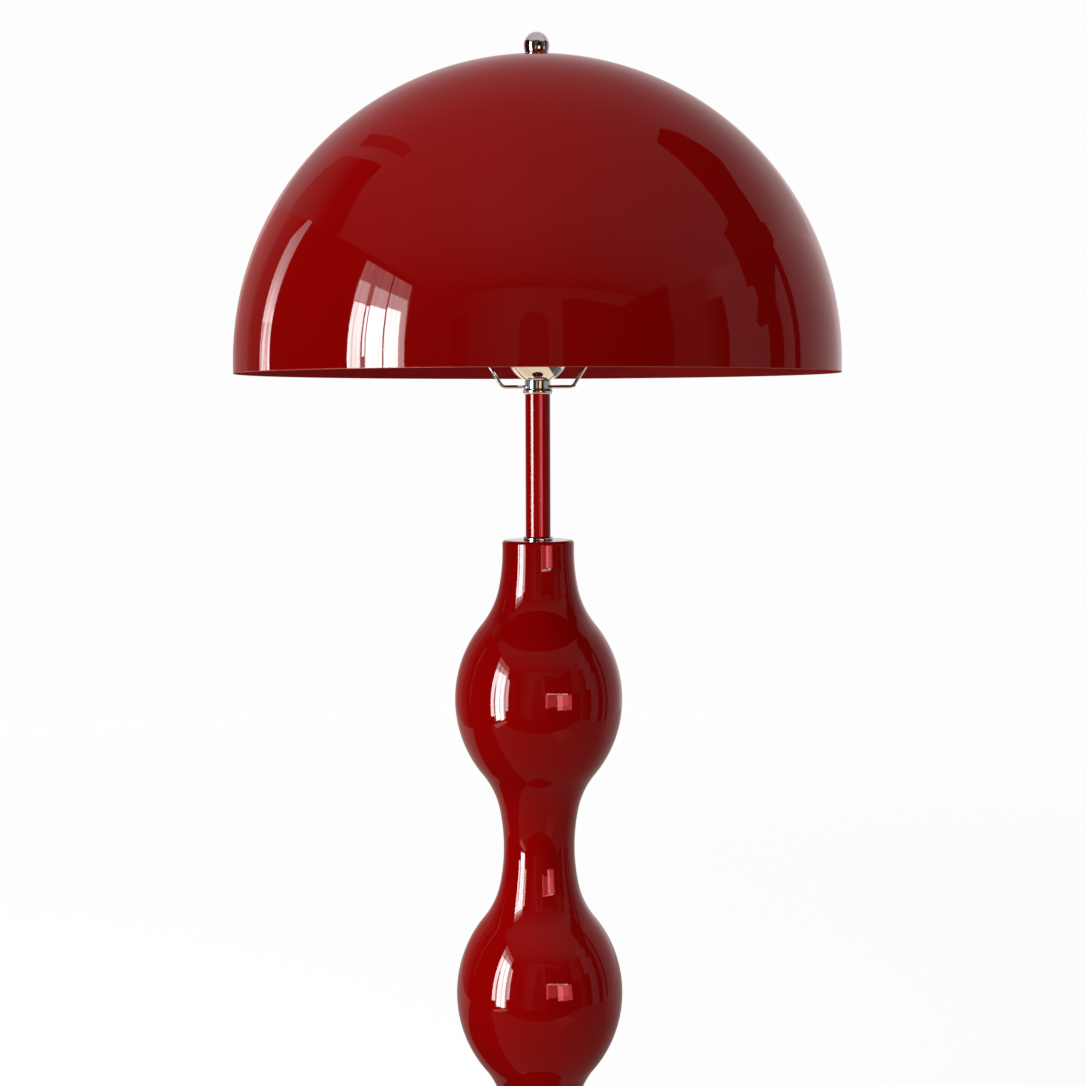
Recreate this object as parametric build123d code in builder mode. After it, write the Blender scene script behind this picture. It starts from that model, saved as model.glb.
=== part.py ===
"""Mushroom floor lamp: a domed shade on a bubbled column, built up along one upright axis."""
from build123d import *
from math import cos, hypot, radians, sin, sqrt, tan
import os

os.makedirs("parts", exist_ok=True)

# ---------------------------------------------------------------------------
# Driving sizes, in millimetres. The floor is z = 0 and the lamp's axis is Z.
# The front of the lamp faces -Y, and the mains inlet is at the back, +Y.
# ---------------------------------------------------------------------------

# Clearances
slip_gap = 0.3            # a loose piece inside or beside another
thread_gap = 0.1          # a screwed or turned fit, on the radius
hole_gap = 0.4            # a screw or sleeve through a plain hole, on the radius

# Column: equal bubbles, each one pitch from waist to waist. Two arcs that ran straight
# into each other between a bubble's middle and a waist would have radii adding up to
# s_curve_radii. The two here are flatter, and a tighter shoulder arc joins them, each
# as a share of that sum.
bubble_diameter = 166.0
waist_diameter = 69.0
bubble_pitch = 302.0
bubble_arc_share = 0.4531
shoulder_arc_share = 0.3363
waist_arc_share = 0.7559
lower_bubbles = 1
upper_bubbles = 2
column_neck = 8.5         # the column's reach above its highest waist
column_top_thickness = 3.0
column_edge_radius = 2.0
column_wall = 1.5
spigot_length = 40.0

# Foot: a flared cover over a cast weight
foot_waist_height = 82.0
foot_diameter = 320.0
foot_flare_radius = 52.0
foot_slope = 5.0          # degrees that the top of the foot falls outwards
foot_edge_radius = 8.0
foot_wall = 1.5
boss_radius = 20.0
pocket_radius = 24.0
pocket_depth = 12.2
bottom_plate_thickness = 1.8
plate_screw_edge_inset = 55.0    # from the foot's edge in to the screws
plate_screw_radius = 2.0
plate_screw_head_radius = 3.9
plate_screw_head_height = 2.0
plate_screw_head_chamfer = 0.5
plate_screw_grip = 8.0
plate_screw_count = 4
pad_edge_inset = 24.0     # from the foot's edge in to the pads' middles
pad_radius = 11.0
pad_height = 3.0
pad_count = 6

# Mains inlet in the foot's edge
inlet_height = 9.6
inlet_bore_radius = 3.3
inlet_sleeve_radius = 4.3
inlet_sleeve_depth = 7.0
inlet_flange_radius = 5.6
inlet_flange_thickness = 1.5
inlet_flange_edge = 0.5

# Threaded pipe that ties the lamp together
pipe_radius = 5.0
pipe_bore_radius = 3.8
pipe_tail = 2.7           # pipe showing below its nut
nut_across_flats = 17.0
nut_thickness = 5.0
washer_radius = 9.0
washer_thickness = 1.8
washer_split = 1.5
coupler_radius = 8.0
coupler_length = 30.0
coupler_chamfer = 0.8

# Stem between the column and the lampholder
stem_diameter = 25.0
stem_wall = 1.5
stem_length = 142.0
ring_diameter = 29.5
ring_height = 5.3
ring_edge_radius = 2.2
ring_neck_height = 5.0
ring_neck_wall = 3.0

# Harp
collar_diameter = 25.8
collar_height = 8.3
collar_edge_radius = 0.7
wire_radius = 1.75
wire_height_in_collar = 2.1
wire_end_depth = 6.5
harp_bend_half_width = 35.2
harp_bend_radius = 5.0
harp_leg_lean = 32.0      # degrees from upright
harp_half_width = 80.0
harp_lower_radius = 42.0
harp_upper_radius = 60.0
harp_crown_drop = 66.0    # from the crown's wire down to the upper corner
harp_crown_half_width = 24.0
harp_crown_radius = 14.0
harp_height = 310.8
harp_boss_radius = 7.5
harp_boss_height = 9.4

# Swivel stud, crown plate and finial
stud_radius = 3.0
stud_head_radius = 5.2
stud_head_height = 2.4
stud_head_chamfer = 0.8
stud_tip_chamfer = 0.75
stud_shoulder_radius = 6.5
stud_shoulder_height = 3.0
stud_thread_length = 11.0     # showing above the captive washer
crown_plate_margin = 1.0      # flat left showing round the crown plate
crown_plate_thickness = 3.0
crown_plate_chamfer = 1.5
captive_washer_radius = 11.4
captive_washer_thickness = 1.0
finial_diameter = 25.0
finial_height = 25.1
finial_edge_radius = 0.7
finial_bore_spare = 1.5       # bore left above the stud's end

# Shade
shade_diameter = 600.0
shade_skirt = 10.3
shade_wall = 1.2
shade_flat_radius = 16.0
shade_hole_radius = 5.3
shade_rim_radius = 0.4

# Lampholder and its cup
cup_radius = 31.0
cup_seat_radius = 12.9
cup_wall = 1.2
cup_height = 49.0
cup_rim_radius = 0.4
holder_radius = 20.0
holder_height = 54.0
holder_base_radius = 11.0
holder_base_height = 3.2
holder_cone_height = 8.0
holder_rim_radius = 1.5
holder_floor = 19.5       # height of the socket's floor above the holder's base
pipe_into_holder = 10.0
shell_bore_radius = 13.5
shell_thickness = 0.4
shell_recess = 2.7        # from the holder's rim down to the shell's
contact_width = 6.0
contact_thickness = 0.6
contact_rise = 5.4
contact_foot = 7.5

# Bulb
cap_crest_radius = 13.1
cap_thread_depth = 0.8
cap_thread_pitch = 3.6
cap_thread_count = 5
insulator_height = 5.8
insulator_step = 1.0       # from the thread's root in to the insulator
tip_radius = 4.6
tip_height = 1.4
globe_diameter = 95.0
globe_neck_radius = 12.9
globe_neck_arc_radius = 25.0
globe_neck_length = 3.4
globe_wall = 1.0

# ---------------------------------------------------------------------------
# Radii that follow
# ---------------------------------------------------------------------------
bubble_swell = (bubble_diameter - waist_diameter) / 2
s_curve_radii = ((bubble_pitch / 2) ** 2 + bubble_swell ** 2) / (2 * bubble_swell)
bubble_arc_radius = bubble_arc_share * s_curve_radii
shoulder_arc_radius = shoulder_arc_share * s_curve_radii
waist_arc_radius = waist_arc_share * s_curve_radii
plate_screw_circle_radius = foot_diameter / 2 - plate_screw_edge_inset
pad_circle_radius = foot_diameter / 2 - pad_edge_inset

# ---------------------------------------------------------------------------
# Heights that follow, from the floor up
# ---------------------------------------------------------------------------
plate_bottom_z = pad_height
weight_bottom_z = plate_bottom_z + bottom_plate_thickness
washer_seat_z = weight_bottom_z + pocket_depth
nut_top_z = washer_seat_z - washer_thickness
pipe_bottom_z = nut_top_z - nut_thickness - pipe_tail
boss_top_z = foot_waist_height - spigot_length / 2
column_joint_z = foot_waist_height + lower_bubbles * bubble_pitch
top_waist_z = column_joint_z + upper_bubbles * bubble_pitch
column_top_z = top_waist_z + column_neck
stem_bottom_z = column_top_z + ring_height
stem_top_z = stem_bottom_z + stem_length
collar_bottom_z = stem_top_z + ring_height
collar_top_z = collar_bottom_z + collar_height
wire_z = collar_bottom_z + wire_height_in_collar
crown_wire_z = wire_z + harp_height
harp_boss_top_z = crown_wire_z + harp_boss_height / 2
crown_plate_z = harp_boss_top_z + stud_shoulder_height
shade_seat_z = crown_plate_z + crown_plate_thickness
shade_flat_z = shade_seat_z + shade_wall
finial_bottom_z = shade_flat_z + captive_washer_thickness
stud_top_z = finial_bottom_z + stud_thread_length
holder_base_z = collar_top_z + cup_wall
pipe_top_z = holder_base_z + pipe_into_holder
socket_floor_z = holder_base_z + holder_floor
holder_top_z = holder_base_z + holder_height
tip_bottom_z = socket_floor_z + contact_rise + slip_gap
cap_bottom_z = tip_bottom_z + tip_height + insulator_height
cap_top_z = cap_bottom_z + cap_thread_pitch * cap_thread_count


# ---------------------------------------------------------------------------
# Outlines, in the plane through the axis: x is the distance from the axis
# ---------------------------------------------------------------------------
def arc_about(centre, start, end):
    """Draw the shorter arc from start to end about a centre that is equally far from both."""
    hub = Vector(*centre)
    spoke = Vector(*start) - hub
    halfway = (Vector(*start) + Vector(*end)) * 0.5 - hub
    ThreePointArc(start, hub + halfway.normalized() * spoke.length, end)


def point_on(centre, direction, distance):
    """The point at a distance from a centre, along a direction that need not be of unit length."""
    reach = hypot(*direction)
    return (centre[0] + direction[0] / reach * distance, centre[1] + direction[1] / reach * distance)


def shoulder_centre():
    """Centre of the hollow arc that joins a bubble to the waist above it, from the bubble's middle."""
    bubble_x = bubble_diameter / 2 - bubble_arc_radius
    waist_x = waist_diameter / 2 + waist_arc_radius
    waist_y = bubble_pitch / 2
    to_bubble = bubble_arc_radius + shoulder_arc_radius
    to_waist = waist_arc_radius - shoulder_arc_radius
    apart = hypot(waist_x - bubble_x, waist_y)
    along = (to_bubble ** 2 - to_waist ** 2 + apart ** 2) / (2 * apart)
    aside = sqrt(to_bubble ** 2 - along ** 2)
    unit_x = (waist_x - bubble_x) / apart
    unit_y = waist_y / apart
    return (bubble_x + along * unit_x - aside * unit_y, along * unit_y + aside * unit_x)


def draw_bubble_side(middle_z, inset):
    """Draw one bubble's side from the waist below it to the waist above, moved in by inset."""
    bubble = (bubble_diameter / 2 - bubble_arc_radius, 0.0)
    waist = (waist_diameter / 2 + waist_arc_radius, bubble_pitch / 2)
    shoulder = shoulder_centre()
    outward = (shoulder[0] - bubble[0], shoulder[1] - bubble[1])
    inward = (shoulder[0] - waist[0], shoulder[1] - waist[1])
    end_x = waist_diameter / 2 - inset
    bubble_x, bubble_y = point_on(bubble, outward, bubble_arc_radius - inset)
    waist_x, waist_y = point_on(waist, inward, waist_arc_radius + inset)
    for side in (-1, 1):
        at_waist = (end_x, middle_z + side * bubble_pitch / 2)
        at_shoulder = (waist_x, middle_z + side * waist_y)
        at_bubble = (bubble_x, middle_z + side * bubble_y)
        arc_about((waist[0], middle_z + side * waist[1]), at_waist, at_shoulder)
        arc_about((shoulder[0], middle_z + side * shoulder[1]), at_shoulder, at_bubble)
    ThreePointArc(
        (bubble_x, middle_z - bubble_y),
        (bubble_diameter / 2 - inset, middle_z),
        (bubble_x, middle_z + bubble_y),
    )


def neck_radius(inset):
    """The column's radius at its top face, moved in by inset."""
    waist_x = waist_diameter / 2 + waist_arc_radius
    return waist_x - sqrt((waist_arc_radius + inset) ** 2 - column_neck ** 2)


def foot_corners(inset):
    """The foot cover's flare end, edge arc start and edge arc end, moved in by inset."""
    slope = radians(foot_slope)
    flare = (waist_diameter / 2 + foot_flare_radius, foot_waist_height)
    flare_end_x = flare[0] - foot_flare_radius * sin(slope)
    flare_end_z = flare[1] - foot_flare_radius * cos(slope)
    edge_x = foot_diameter / 2 - foot_edge_radius
    edge_start_x = edge_x + foot_edge_radius * sin(slope)
    edge_z = flare_end_z - (edge_start_x - flare_end_x) * tan(slope) - foot_edge_radius * cos(slope)
    normal = (sin(slope), cos(slope))
    flare_end = point_on(flare, (-normal[0], -normal[1]), foot_flare_radius + inset)
    edge_start = point_on((edge_x, edge_z), normal, foot_edge_radius - inset)
    edge_end = (foot_diameter / 2 - inset, edge_z)
    return flare, flare_end, (edge_x, edge_z), edge_start, edge_end


def draw_foot_side(inset, bottom_z):
    """Draw the foot cover's side from its neck out and down to bottom_z, moved in by inset."""
    flare, flare_end, edge, edge_start, edge_end = foot_corners(inset)
    arc_about(flare, (waist_diameter / 2 - inset, foot_waist_height), flare_end)
    Line(flare_end, edge_start)
    arc_about(edge, edge_start, edge_end)
    Line(edge_end, (edge_end[0], bottom_z))


def shade_centre_z():
    """Height of the dome's centre: the flat on its crown seats on the crown plate."""
    return shade_flat_z - sqrt((shade_diameter / 2) ** 2 - shade_flat_radius ** 2)


def draw_shade_side(inset):
    """Draw the shade's side from the hole in its crown to its rim, moved in by inset."""
    radius = shade_diameter / 2 - inset
    middle_z = shade_centre_z()
    flat_z = shade_flat_z - inset
    flat_x = sqrt(radius ** 2 - (flat_z - middle_z) ** 2)
    Line((shade_hole_radius, flat_z), (flat_x, flat_z))
    arc_about((0, middle_z), (flat_x, flat_z), (radius, middle_z))
    Line((radius, middle_z), (radius, middle_z - shade_skirt))


def globe_centre_z():
    """Height of the globe's middle: its neck's arc starts one neck length above the cap."""
    reach = globe_diameter / 2 + globe_neck_arc_radius
    aside = globe_neck_radius + globe_neck_arc_radius
    return cap_top_z + globe_neck_length + sqrt(reach ** 2 - aside ** 2)


def draw_globe_side(inset):
    """Draw the globe's side from the cap to its top on the axis, moved in by inset."""
    middle = (0.0, globe_centre_z())
    hollow = (globe_neck_radius + globe_neck_arc_radius, cap_top_z + globe_neck_length)
    neck_x = globe_neck_radius - inset
    meeting = point_on(hollow, (middle[0] - hollow[0], middle[1] - hollow[1]), globe_neck_arc_radius + inset)
    widest = (globe_diameter / 2 - inset, middle[1])
    Line((neck_x, cap_top_z), (neck_x, hollow[1]))
    arc_about(hollow, (neck_x, hollow[1]), meeting)
    arc_about(middle, meeting, widest)
    arc_about(middle, widest, (0, middle[1] + globe_diameter / 2 - inset))


def cup_centre_z():
    """Height of the centre of the cup's bowl, which ends in a flat seat on the collar."""
    return collar_top_z + sqrt(cup_radius ** 2 - cup_seat_radius ** 2)


# ---------------------------------------------------------------------------
# Foot
# ---------------------------------------------------------------------------
with BuildPart() as foot_pads:
    with BuildSketch(Plane.XY):
        with PolarLocations(pad_circle_radius, pad_count, start_angle=180 / pad_count):
            Circle(pad_radius)
    extrude(amount=pad_height)
foot_pads.part.label = "foot_pads"

with BuildPart() as bottom_plate:
    with BuildSketch(Plane.XY.offset(plate_bottom_z)):
        Circle(foot_diameter / 2 - foot_wall - slip_gap)
        with PolarLocations(plate_screw_circle_radius, plate_screw_count):
            Circle(plate_screw_radius + hole_gap, mode=Mode.SUBTRACT)
    extrude(amount=bottom_plate_thickness)
bottom_plate.part.label = "bottom_plate"

with BuildPart() as bottom_plate_screws:
    with BuildSketch(Plane.XY.offset(plate_bottom_z)):
        with PolarLocations(plate_screw_circle_radius, plate_screw_count):
            Circle(plate_screw_head_radius)
    extrude(amount=-plate_screw_head_height)
    chamfer(bottom_plate_screws.edges().group_by(Axis.Z)[0], plate_screw_head_chamfer)
    with BuildSketch(Plane.XY.offset(plate_bottom_z)):
        with PolarLocations(plate_screw_circle_radius, plate_screw_count):
            Circle(plate_screw_radius)
    extrude(amount=bottom_plate_thickness + plate_screw_grip)
bottom_plate_screws.part.label = "bottom_plate_screws"

with BuildPart() as foot_weight:
    weight_inset = foot_wall + slip_gap
    _, weight_flare_end, weight_edge, weight_edge_start, weight_edge_end = foot_corners(weight_inset)
    bore = pipe_radius + thread_gap
    with BuildSketch(Plane.XZ):
        with BuildLine():
            Polyline(
                (weight_edge_end[0], weight_edge_end[1]),
                (weight_edge_end[0], weight_bottom_z),
                (pocket_radius, weight_bottom_z),
                (pocket_radius, washer_seat_z),
                (bore, washer_seat_z),
                (bore, boss_top_z),
                (boss_radius, boss_top_z),
                (boss_radius, weight_flare_end[1]),
                (weight_flare_end[0], weight_flare_end[1]),
                (weight_edge_start[0], weight_edge_start[1]),
            )
            arc_about(weight_edge, weight_edge_start, weight_edge_end)
        make_face()
    revolve(axis=Axis.Z)
    with BuildSketch(Plane.XY.offset(weight_bottom_z)):
        with PolarLocations(plate_screw_circle_radius, plate_screw_count):
            Circle(plate_screw_radius + thread_gap)
    extrude(amount=plate_screw_grip + slip_gap, mode=Mode.SUBTRACT)
    channel_width = 2 * (inlet_sleeve_radius + slip_gap)
    with BuildSketch(Plane.XY.offset(weight_bottom_z)):
        with Locations((0, foot_diameter / 4)):
            Rectangle(channel_width, foot_diameter / 2)
    extrude(amount=inlet_height + channel_width / 2 - weight_bottom_z, mode=Mode.SUBTRACT)
foot_weight.part.label = "foot_weight"

with BuildPart() as foot_cover:
    with BuildSketch(Plane.XZ):
        with BuildLine():
            draw_foot_side(0, plate_bottom_z)
            draw_foot_side(foot_wall, plate_bottom_z)
            Line(
                (waist_diameter / 2, foot_waist_height),
                (waist_diameter / 2 - foot_wall, foot_waist_height),
            )
            Line(
                (foot_diameter / 2, plate_bottom_z),
                (foot_diameter / 2 - foot_wall, plate_bottom_z),
            )
        make_face()
    revolve(axis=Axis.Z)
    with BuildSketch(Plane.XZ.offset(-foot_diameter / 2 - slip_gap)):
        with Locations((0, inlet_height)):
            Circle(inlet_sleeve_radius + thread_gap)
    extrude(amount=2 * foot_wall + slip_gap, mode=Mode.SUBTRACT)
foot_cover.part.label = "foot_cover"

with BuildPart() as inlet_bushing:
    flange_plane = Plane.XZ.offset(-foot_diameter / 2 - inlet_flange_thickness)
    with BuildSketch(flange_plane):
        with Locations((0, inlet_height)):
            Circle(inlet_flange_radius)
    extrude(amount=inlet_flange_thickness)
    fillet(inlet_bushing.edges().group_by(Axis.Y)[-1], inlet_flange_edge)
    with BuildSketch(flange_plane):
        with Locations((0, inlet_height)):
            Circle(inlet_sleeve_radius)
    extrude(amount=inlet_flange_thickness + inlet_sleeve_depth)
    with BuildSketch(flange_plane):
        with Locations((0, inlet_height)):
            Circle(inlet_bore_radius)
    extrude(amount=inlet_flange_thickness + inlet_sleeve_depth, mode=Mode.SUBTRACT)
inlet_bushing.part.label = "inlet_bushing"

# ---------------------------------------------------------------------------
# Threaded pipe and its fastenings
# ---------------------------------------------------------------------------
with BuildPart() as lower_pipe:
    with BuildSketch(Plane.XY.offset(pipe_bottom_z)):
        Circle(pipe_radius)
        Circle(pipe_bore_radius, mode=Mode.SUBTRACT)
    extrude(amount=column_joint_z - slip_gap - pipe_bottom_z)
lower_pipe.part.label = "lower_pipe"

with BuildPart() as upper_pipe:
    with BuildSketch(Plane.XY.offset(column_joint_z)):
        Circle(pipe_radius)
        Circle(pipe_bore_radius, mode=Mode.SUBTRACT)
    extrude(amount=pipe_top_z - column_joint_z)
upper_pipe.part.label = "upper_pipe"

with BuildPart() as pipe_nut:
    with BuildSketch(Plane.XY.offset(nut_top_z)):
        RegularPolygon(nut_across_flats / 2, 6, major_radius=False)
        Circle(pipe_radius + thread_gap, mode=Mode.SUBTRACT)
    extrude(amount=-nut_thickness)
pipe_nut.part.label = "pipe_nut"

with BuildPart() as lock_washer:
    with BuildSketch(Plane.XY.offset(washer_seat_z)):
        Circle(washer_radius)
        Circle(pipe_radius + thread_gap, mode=Mode.SUBTRACT)
        with Locations((washer_radius, 0)):
            Rectangle(washer_radius, washer_split, mode=Mode.SUBTRACT)
    extrude(amount=-washer_thickness)
lock_washer.part.label = "lock_washer"

with BuildPart() as pipe_coupler:
    with BuildSketch(Plane.XY.offset(column_joint_z - coupler_length / 2)):
        Circle(coupler_radius)
        Circle(pipe_radius + thread_gap, mode=Mode.SUBTRACT)
    extrude(amount=coupler_length)
    chamfer(pipe_coupler.edges().filter_by(GeomType.CIRCLE).sort_by(SortBy.RADIUS)[-2:], coupler_chamfer)
pipe_coupler.part.label = "pipe_coupler"

# ---------------------------------------------------------------------------
# Column
# ---------------------------------------------------------------------------
spigot_radius = waist_diameter / 2 - column_wall - slip_gap

with BuildPart() as foot_spigot:
    with BuildSketch(Plane.XY.offset(boss_top_z)):
        Circle(spigot_radius)
        Circle(pipe_radius + thread_gap, mode=Mode.SUBTRACT)
    extrude(amount=spigot_length)
foot_spigot.part.label = "foot_spigot"

with BuildPart() as column_spigot:
    with BuildSketch(Plane.XY.offset(column_joint_z - spigot_length / 2)):
        Circle(spigot_radius)
        Circle(coupler_radius + thread_gap, mode=Mode.SUBTRACT)
    extrude(amount=spigot_length)
column_spigot.part.label = "column_spigot"

with BuildPart() as column_lower:
    with BuildSketch(Plane.XZ):
        with BuildLine():
            for inset in (0, column_wall):
                for count in range(lower_bubbles):
                    draw_bubble_side(foot_waist_height + (count + 0.5) * bubble_pitch, inset)
            for end_z in (foot_waist_height, column_joint_z):
                Line((waist_diameter / 2, end_z), (waist_diameter / 2 - column_wall, end_z))
        make_face()
    revolve(axis=Axis.Z)
column_lower.part.label = "column_lower"

with BuildPart() as column_upper:
    inner_top_z = column_top_z - column_top_thickness
    waist_centre = (waist_diameter / 2 + waist_arc_radius, top_waist_z)
    inner_neck = waist_centre[0] - sqrt(
        (waist_arc_radius + column_wall) ** 2 - (inner_top_z - top_waist_z) ** 2
    )
    with BuildSketch(Plane.XZ):
        with BuildLine():
            for inset in (0, column_wall):
                for count in range(upper_bubbles):
                    draw_bubble_side(column_joint_z + (count + 0.5) * bubble_pitch, inset)
            arc_about(waist_centre, (waist_diameter / 2, top_waist_z), (neck_radius(0), column_top_z))
            arc_about(
                waist_centre,
                (waist_diameter / 2 - column_wall, top_waist_z),
                (inner_neck, inner_top_z),
            )
            Polyline(
                (inner_neck, inner_top_z),
                (pipe_radius + thread_gap, inner_top_z),
                (pipe_radius + thread_gap, column_top_z),
                (neck_radius(0), column_top_z),
            )
            Line(
                (waist_diameter / 2, column_joint_z),
                (waist_diameter / 2 - column_wall, column_joint_z),
            )
        make_face()
    revolve(axis=Axis.Z)
    top_edges = column_upper.edges().group_by(Axis.Z)[-1].filter_by(GeomType.CIRCLE)
    fillet(top_edges.sort_by(SortBy.RADIUS)[-1], column_edge_radius)
column_upper.part.label = "column_upper"

# ---------------------------------------------------------------------------
# Stem and its two check rings
# ---------------------------------------------------------------------------
with BuildPart() as stem:
    with BuildSketch(Plane.XY.offset(stem_bottom_z)):
        Circle(stem_diameter / 2)
        Circle(stem_diameter / 2 - stem_wall, mode=Mode.SUBTRACT)
    extrude(amount=stem_length)
stem.part.label = "stem"

ring_neck_radius = stem_diameter / 2 - stem_wall - thread_gap

with BuildPart() as lower_check_ring:
    with BuildSketch(Plane.XY.offset(column_top_z)):
        Circle(ring_diameter / 2)
    extrude(amount=ring_height)
    fillet(lower_check_ring.edges().filter_by(GeomType.CIRCLE), ring_edge_radius)
    with BuildSketch(Plane.XY.offset(stem_bottom_z)):
        Circle(ring_neck_radius)
    extrude(amount=ring_neck_height)
    with BuildSketch(Plane.XY.offset(column_top_z)):
        Circle(pipe_radius + thread_gap)
    extrude(amount=ring_height + ring_neck_height, mode=Mode.SUBTRACT)
    with BuildSketch(Plane.XY.offset(stem_bottom_z)):
        Circle(ring_neck_radius - ring_neck_wall)
    extrude(amount=ring_neck_height, mode=Mode.SUBTRACT)
lower_check_ring.part.label = "lower_check_ring"

with BuildPart() as upper_check_ring:
    with BuildSketch(Plane.XY.offset(stem_top_z)):
        Circle(ring_diameter / 2)
    extrude(amount=ring_height)
    fillet(upper_check_ring.edges().filter_by(GeomType.CIRCLE), ring_edge_radius)
    with BuildSketch(Plane.XY.offset(stem_top_z)):
        Circle(ring_neck_radius)
    extrude(amount=-ring_neck_height)
    with BuildSketch(Plane.XY.offset(stem_top_z - ring_neck_height)):
        Circle(pipe_radius + thread_gap)
    extrude(amount=ring_height + ring_neck_height, mode=Mode.SUBTRACT)
    with BuildSketch(Plane.XY.offset(stem_top_z)):
        Circle(ring_neck_radius - ring_neck_wall)
    extrude(amount=-ring_neck_height, mode=Mode.SUBTRACT)
upper_check_ring.part.label = "upper_check_ring"

# ---------------------------------------------------------------------------
# Harp
# ---------------------------------------------------------------------------
with BuildPart() as harp_collar:
    with BuildSketch(Plane.XY.offset(collar_bottom_z)):
        Circle(collar_diameter / 2)
        Circle(pipe_radius + thread_gap, mode=Mode.SUBTRACT)
    extrude(amount=collar_height)
    collar_edges = harp_collar.edges().filter_by(GeomType.CIRCLE).sort_by(SortBy.RADIUS)
    fillet(collar_edges[-2:], collar_edge_radius)
    with BuildSketch(Plane.YZ.offset(wire_end_depth - slip_gap)):
        with Locations((0, wire_z)):
            Circle(wire_radius + thread_gap)
    extrude(amount=collar_diameter / 2, mode=Mode.SUBTRACT)
    with BuildSketch(Plane.YZ.offset(slip_gap - wire_end_depth)):
        with Locations((0, wire_z)):
            Circle(wire_radius + thread_gap)
    extrude(amount=-collar_diameter / 2, mode=Mode.SUBTRACT)
harp_collar.part.label = "harp_collar"

harp_leg_top_z = wire_z + (harp_half_width - harp_bend_half_width) / tan(radians(harp_leg_lean))
harp_boss_bore = stud_radius + thread_gap

with BuildPart() as harp:
    with BuildLine(Plane.XZ) as wire_path:
        FilletPolyline(
            (wire_end_depth, wire_z),
            (harp_bend_half_width, wire_z),
            (harp_half_width, harp_leg_top_z),
            (harp_half_width, crown_wire_z - harp_crown_drop),
            (harp_crown_half_width, crown_wire_z),
            (harp_boss_bore + slip_gap, crown_wire_z),
            radius=[harp_bend_radius, harp_lower_radius, harp_upper_radius, harp_crown_radius],
        )
    with BuildSketch(Plane(origin=wire_path.line @ 0, z_dir=wire_path.line % 0)):
        Circle(wire_radius)
    sweep(path=wire_path.line)
    mirror(about=Plane.YZ)
    with BuildSketch(Plane.XY.offset(crown_wire_z - harp_boss_height / 2)):
        Circle(harp_boss_radius)
    extrude(amount=harp_boss_height)
    with BuildSketch(Plane.XY.offset(crown_wire_z - harp_boss_height)):
        Circle(harp_boss_bore)
    extrude(amount=2 * harp_boss_height, mode=Mode.SUBTRACT)
harp.part.label = "harp"

# ---------------------------------------------------------------------------
# Swivel stud, crown plate, shade and finial
# ---------------------------------------------------------------------------
with BuildPart() as swivel_stud:
    head_top_z = harp_boss_top_z - harp_boss_height - slip_gap
    with BuildSketch(Plane.XY.offset(head_top_z)):
        Circle(stud_head_radius)
    extrude(amount=-stud_head_height)
    chamfer(swivel_stud.edges().group_by(Axis.Z)[0], stud_head_chamfer)
    with BuildSketch(Plane.XY.offset(head_top_z)):
        Circle(stud_radius)
    extrude(amount=stud_top_z - head_top_z)
    chamfer(swivel_stud.edges().group_by(Axis.Z)[-1], stud_tip_chamfer)
    with BuildSketch(Plane.XY.offset(harp_boss_top_z)):
        Circle(stud_shoulder_radius)
    extrude(amount=stud_shoulder_height)
swivel_stud.part.label = "swivel_stud"

with BuildPart() as crown_plate:
    with BuildSketch(Plane.XY.offset(crown_plate_z)):
        Circle(shade_flat_radius - crown_plate_margin)
        Circle(stud_radius + thread_gap, mode=Mode.SUBTRACT)
    extrude(amount=crown_plate_thickness)
    lower_rim = crown_plate.edges().group_by(Axis.Z)[0].sort_by(SortBy.RADIUS)[-1]
    chamfer(lower_rim, crown_plate_chamfer)
crown_plate.part.label = "crown_plate"

with BuildPart() as shade:
    rim_z = shade_centre_z() - shade_skirt
    with BuildSketch(Plane.XZ):
        with BuildLine():
            draw_shade_side(0)
            draw_shade_side(shade_wall)
            Line((shade_hole_radius, shade_flat_z), (shade_hole_radius, shade_seat_z))
            Line((shade_diameter / 2, rim_z), (shade_diameter / 2 - shade_wall, rim_z))
        make_face()
    revolve(axis=Axis.Z)
    fillet(shade.edges().group_by(Axis.Z)[0], shade_rim_radius)
shade.part.label = "shade"

with BuildPart() as captive_washer:
    with BuildSketch(Plane.XY.offset(shade_flat_z)):
        Circle(captive_washer_radius)
        Circle(stud_radius + hole_gap, mode=Mode.SUBTRACT)
    extrude(amount=captive_washer_thickness)
captive_washer.part.label = "captive_washer"

with BuildPart() as finial:
    with BuildSketch(Plane.XY.offset(finial_bottom_z)):
        Circle(finial_diameter / 2)
    extrude(amount=finial_height - finial_diameter / 2)
    with BuildSketch(Plane.XZ):
        with BuildLine():
            dome_z = finial_bottom_z + finial_height - finial_diameter / 2
            Line((0, dome_z), (finial_diameter / 2, dome_z))
            arc_about(
                (0, dome_z),
                (finial_diameter / 2, dome_z),
                (0, dome_z + finial_diameter / 2),
            )
            Line((0, dome_z + finial_diameter / 2), (0, dome_z))
        make_face()
    revolve(axis=Axis.Z)
    fillet(finial.edges().group_by(Axis.Z)[0], finial_edge_radius)
    with BuildSketch(Plane.XY.offset(finial_bottom_z)):
        Circle(stud_radius + thread_gap)
    extrude(amount=stud_thread_length + finial_bore_spare, mode=Mode.SUBTRACT)
finial.part.label = "finial"

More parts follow.
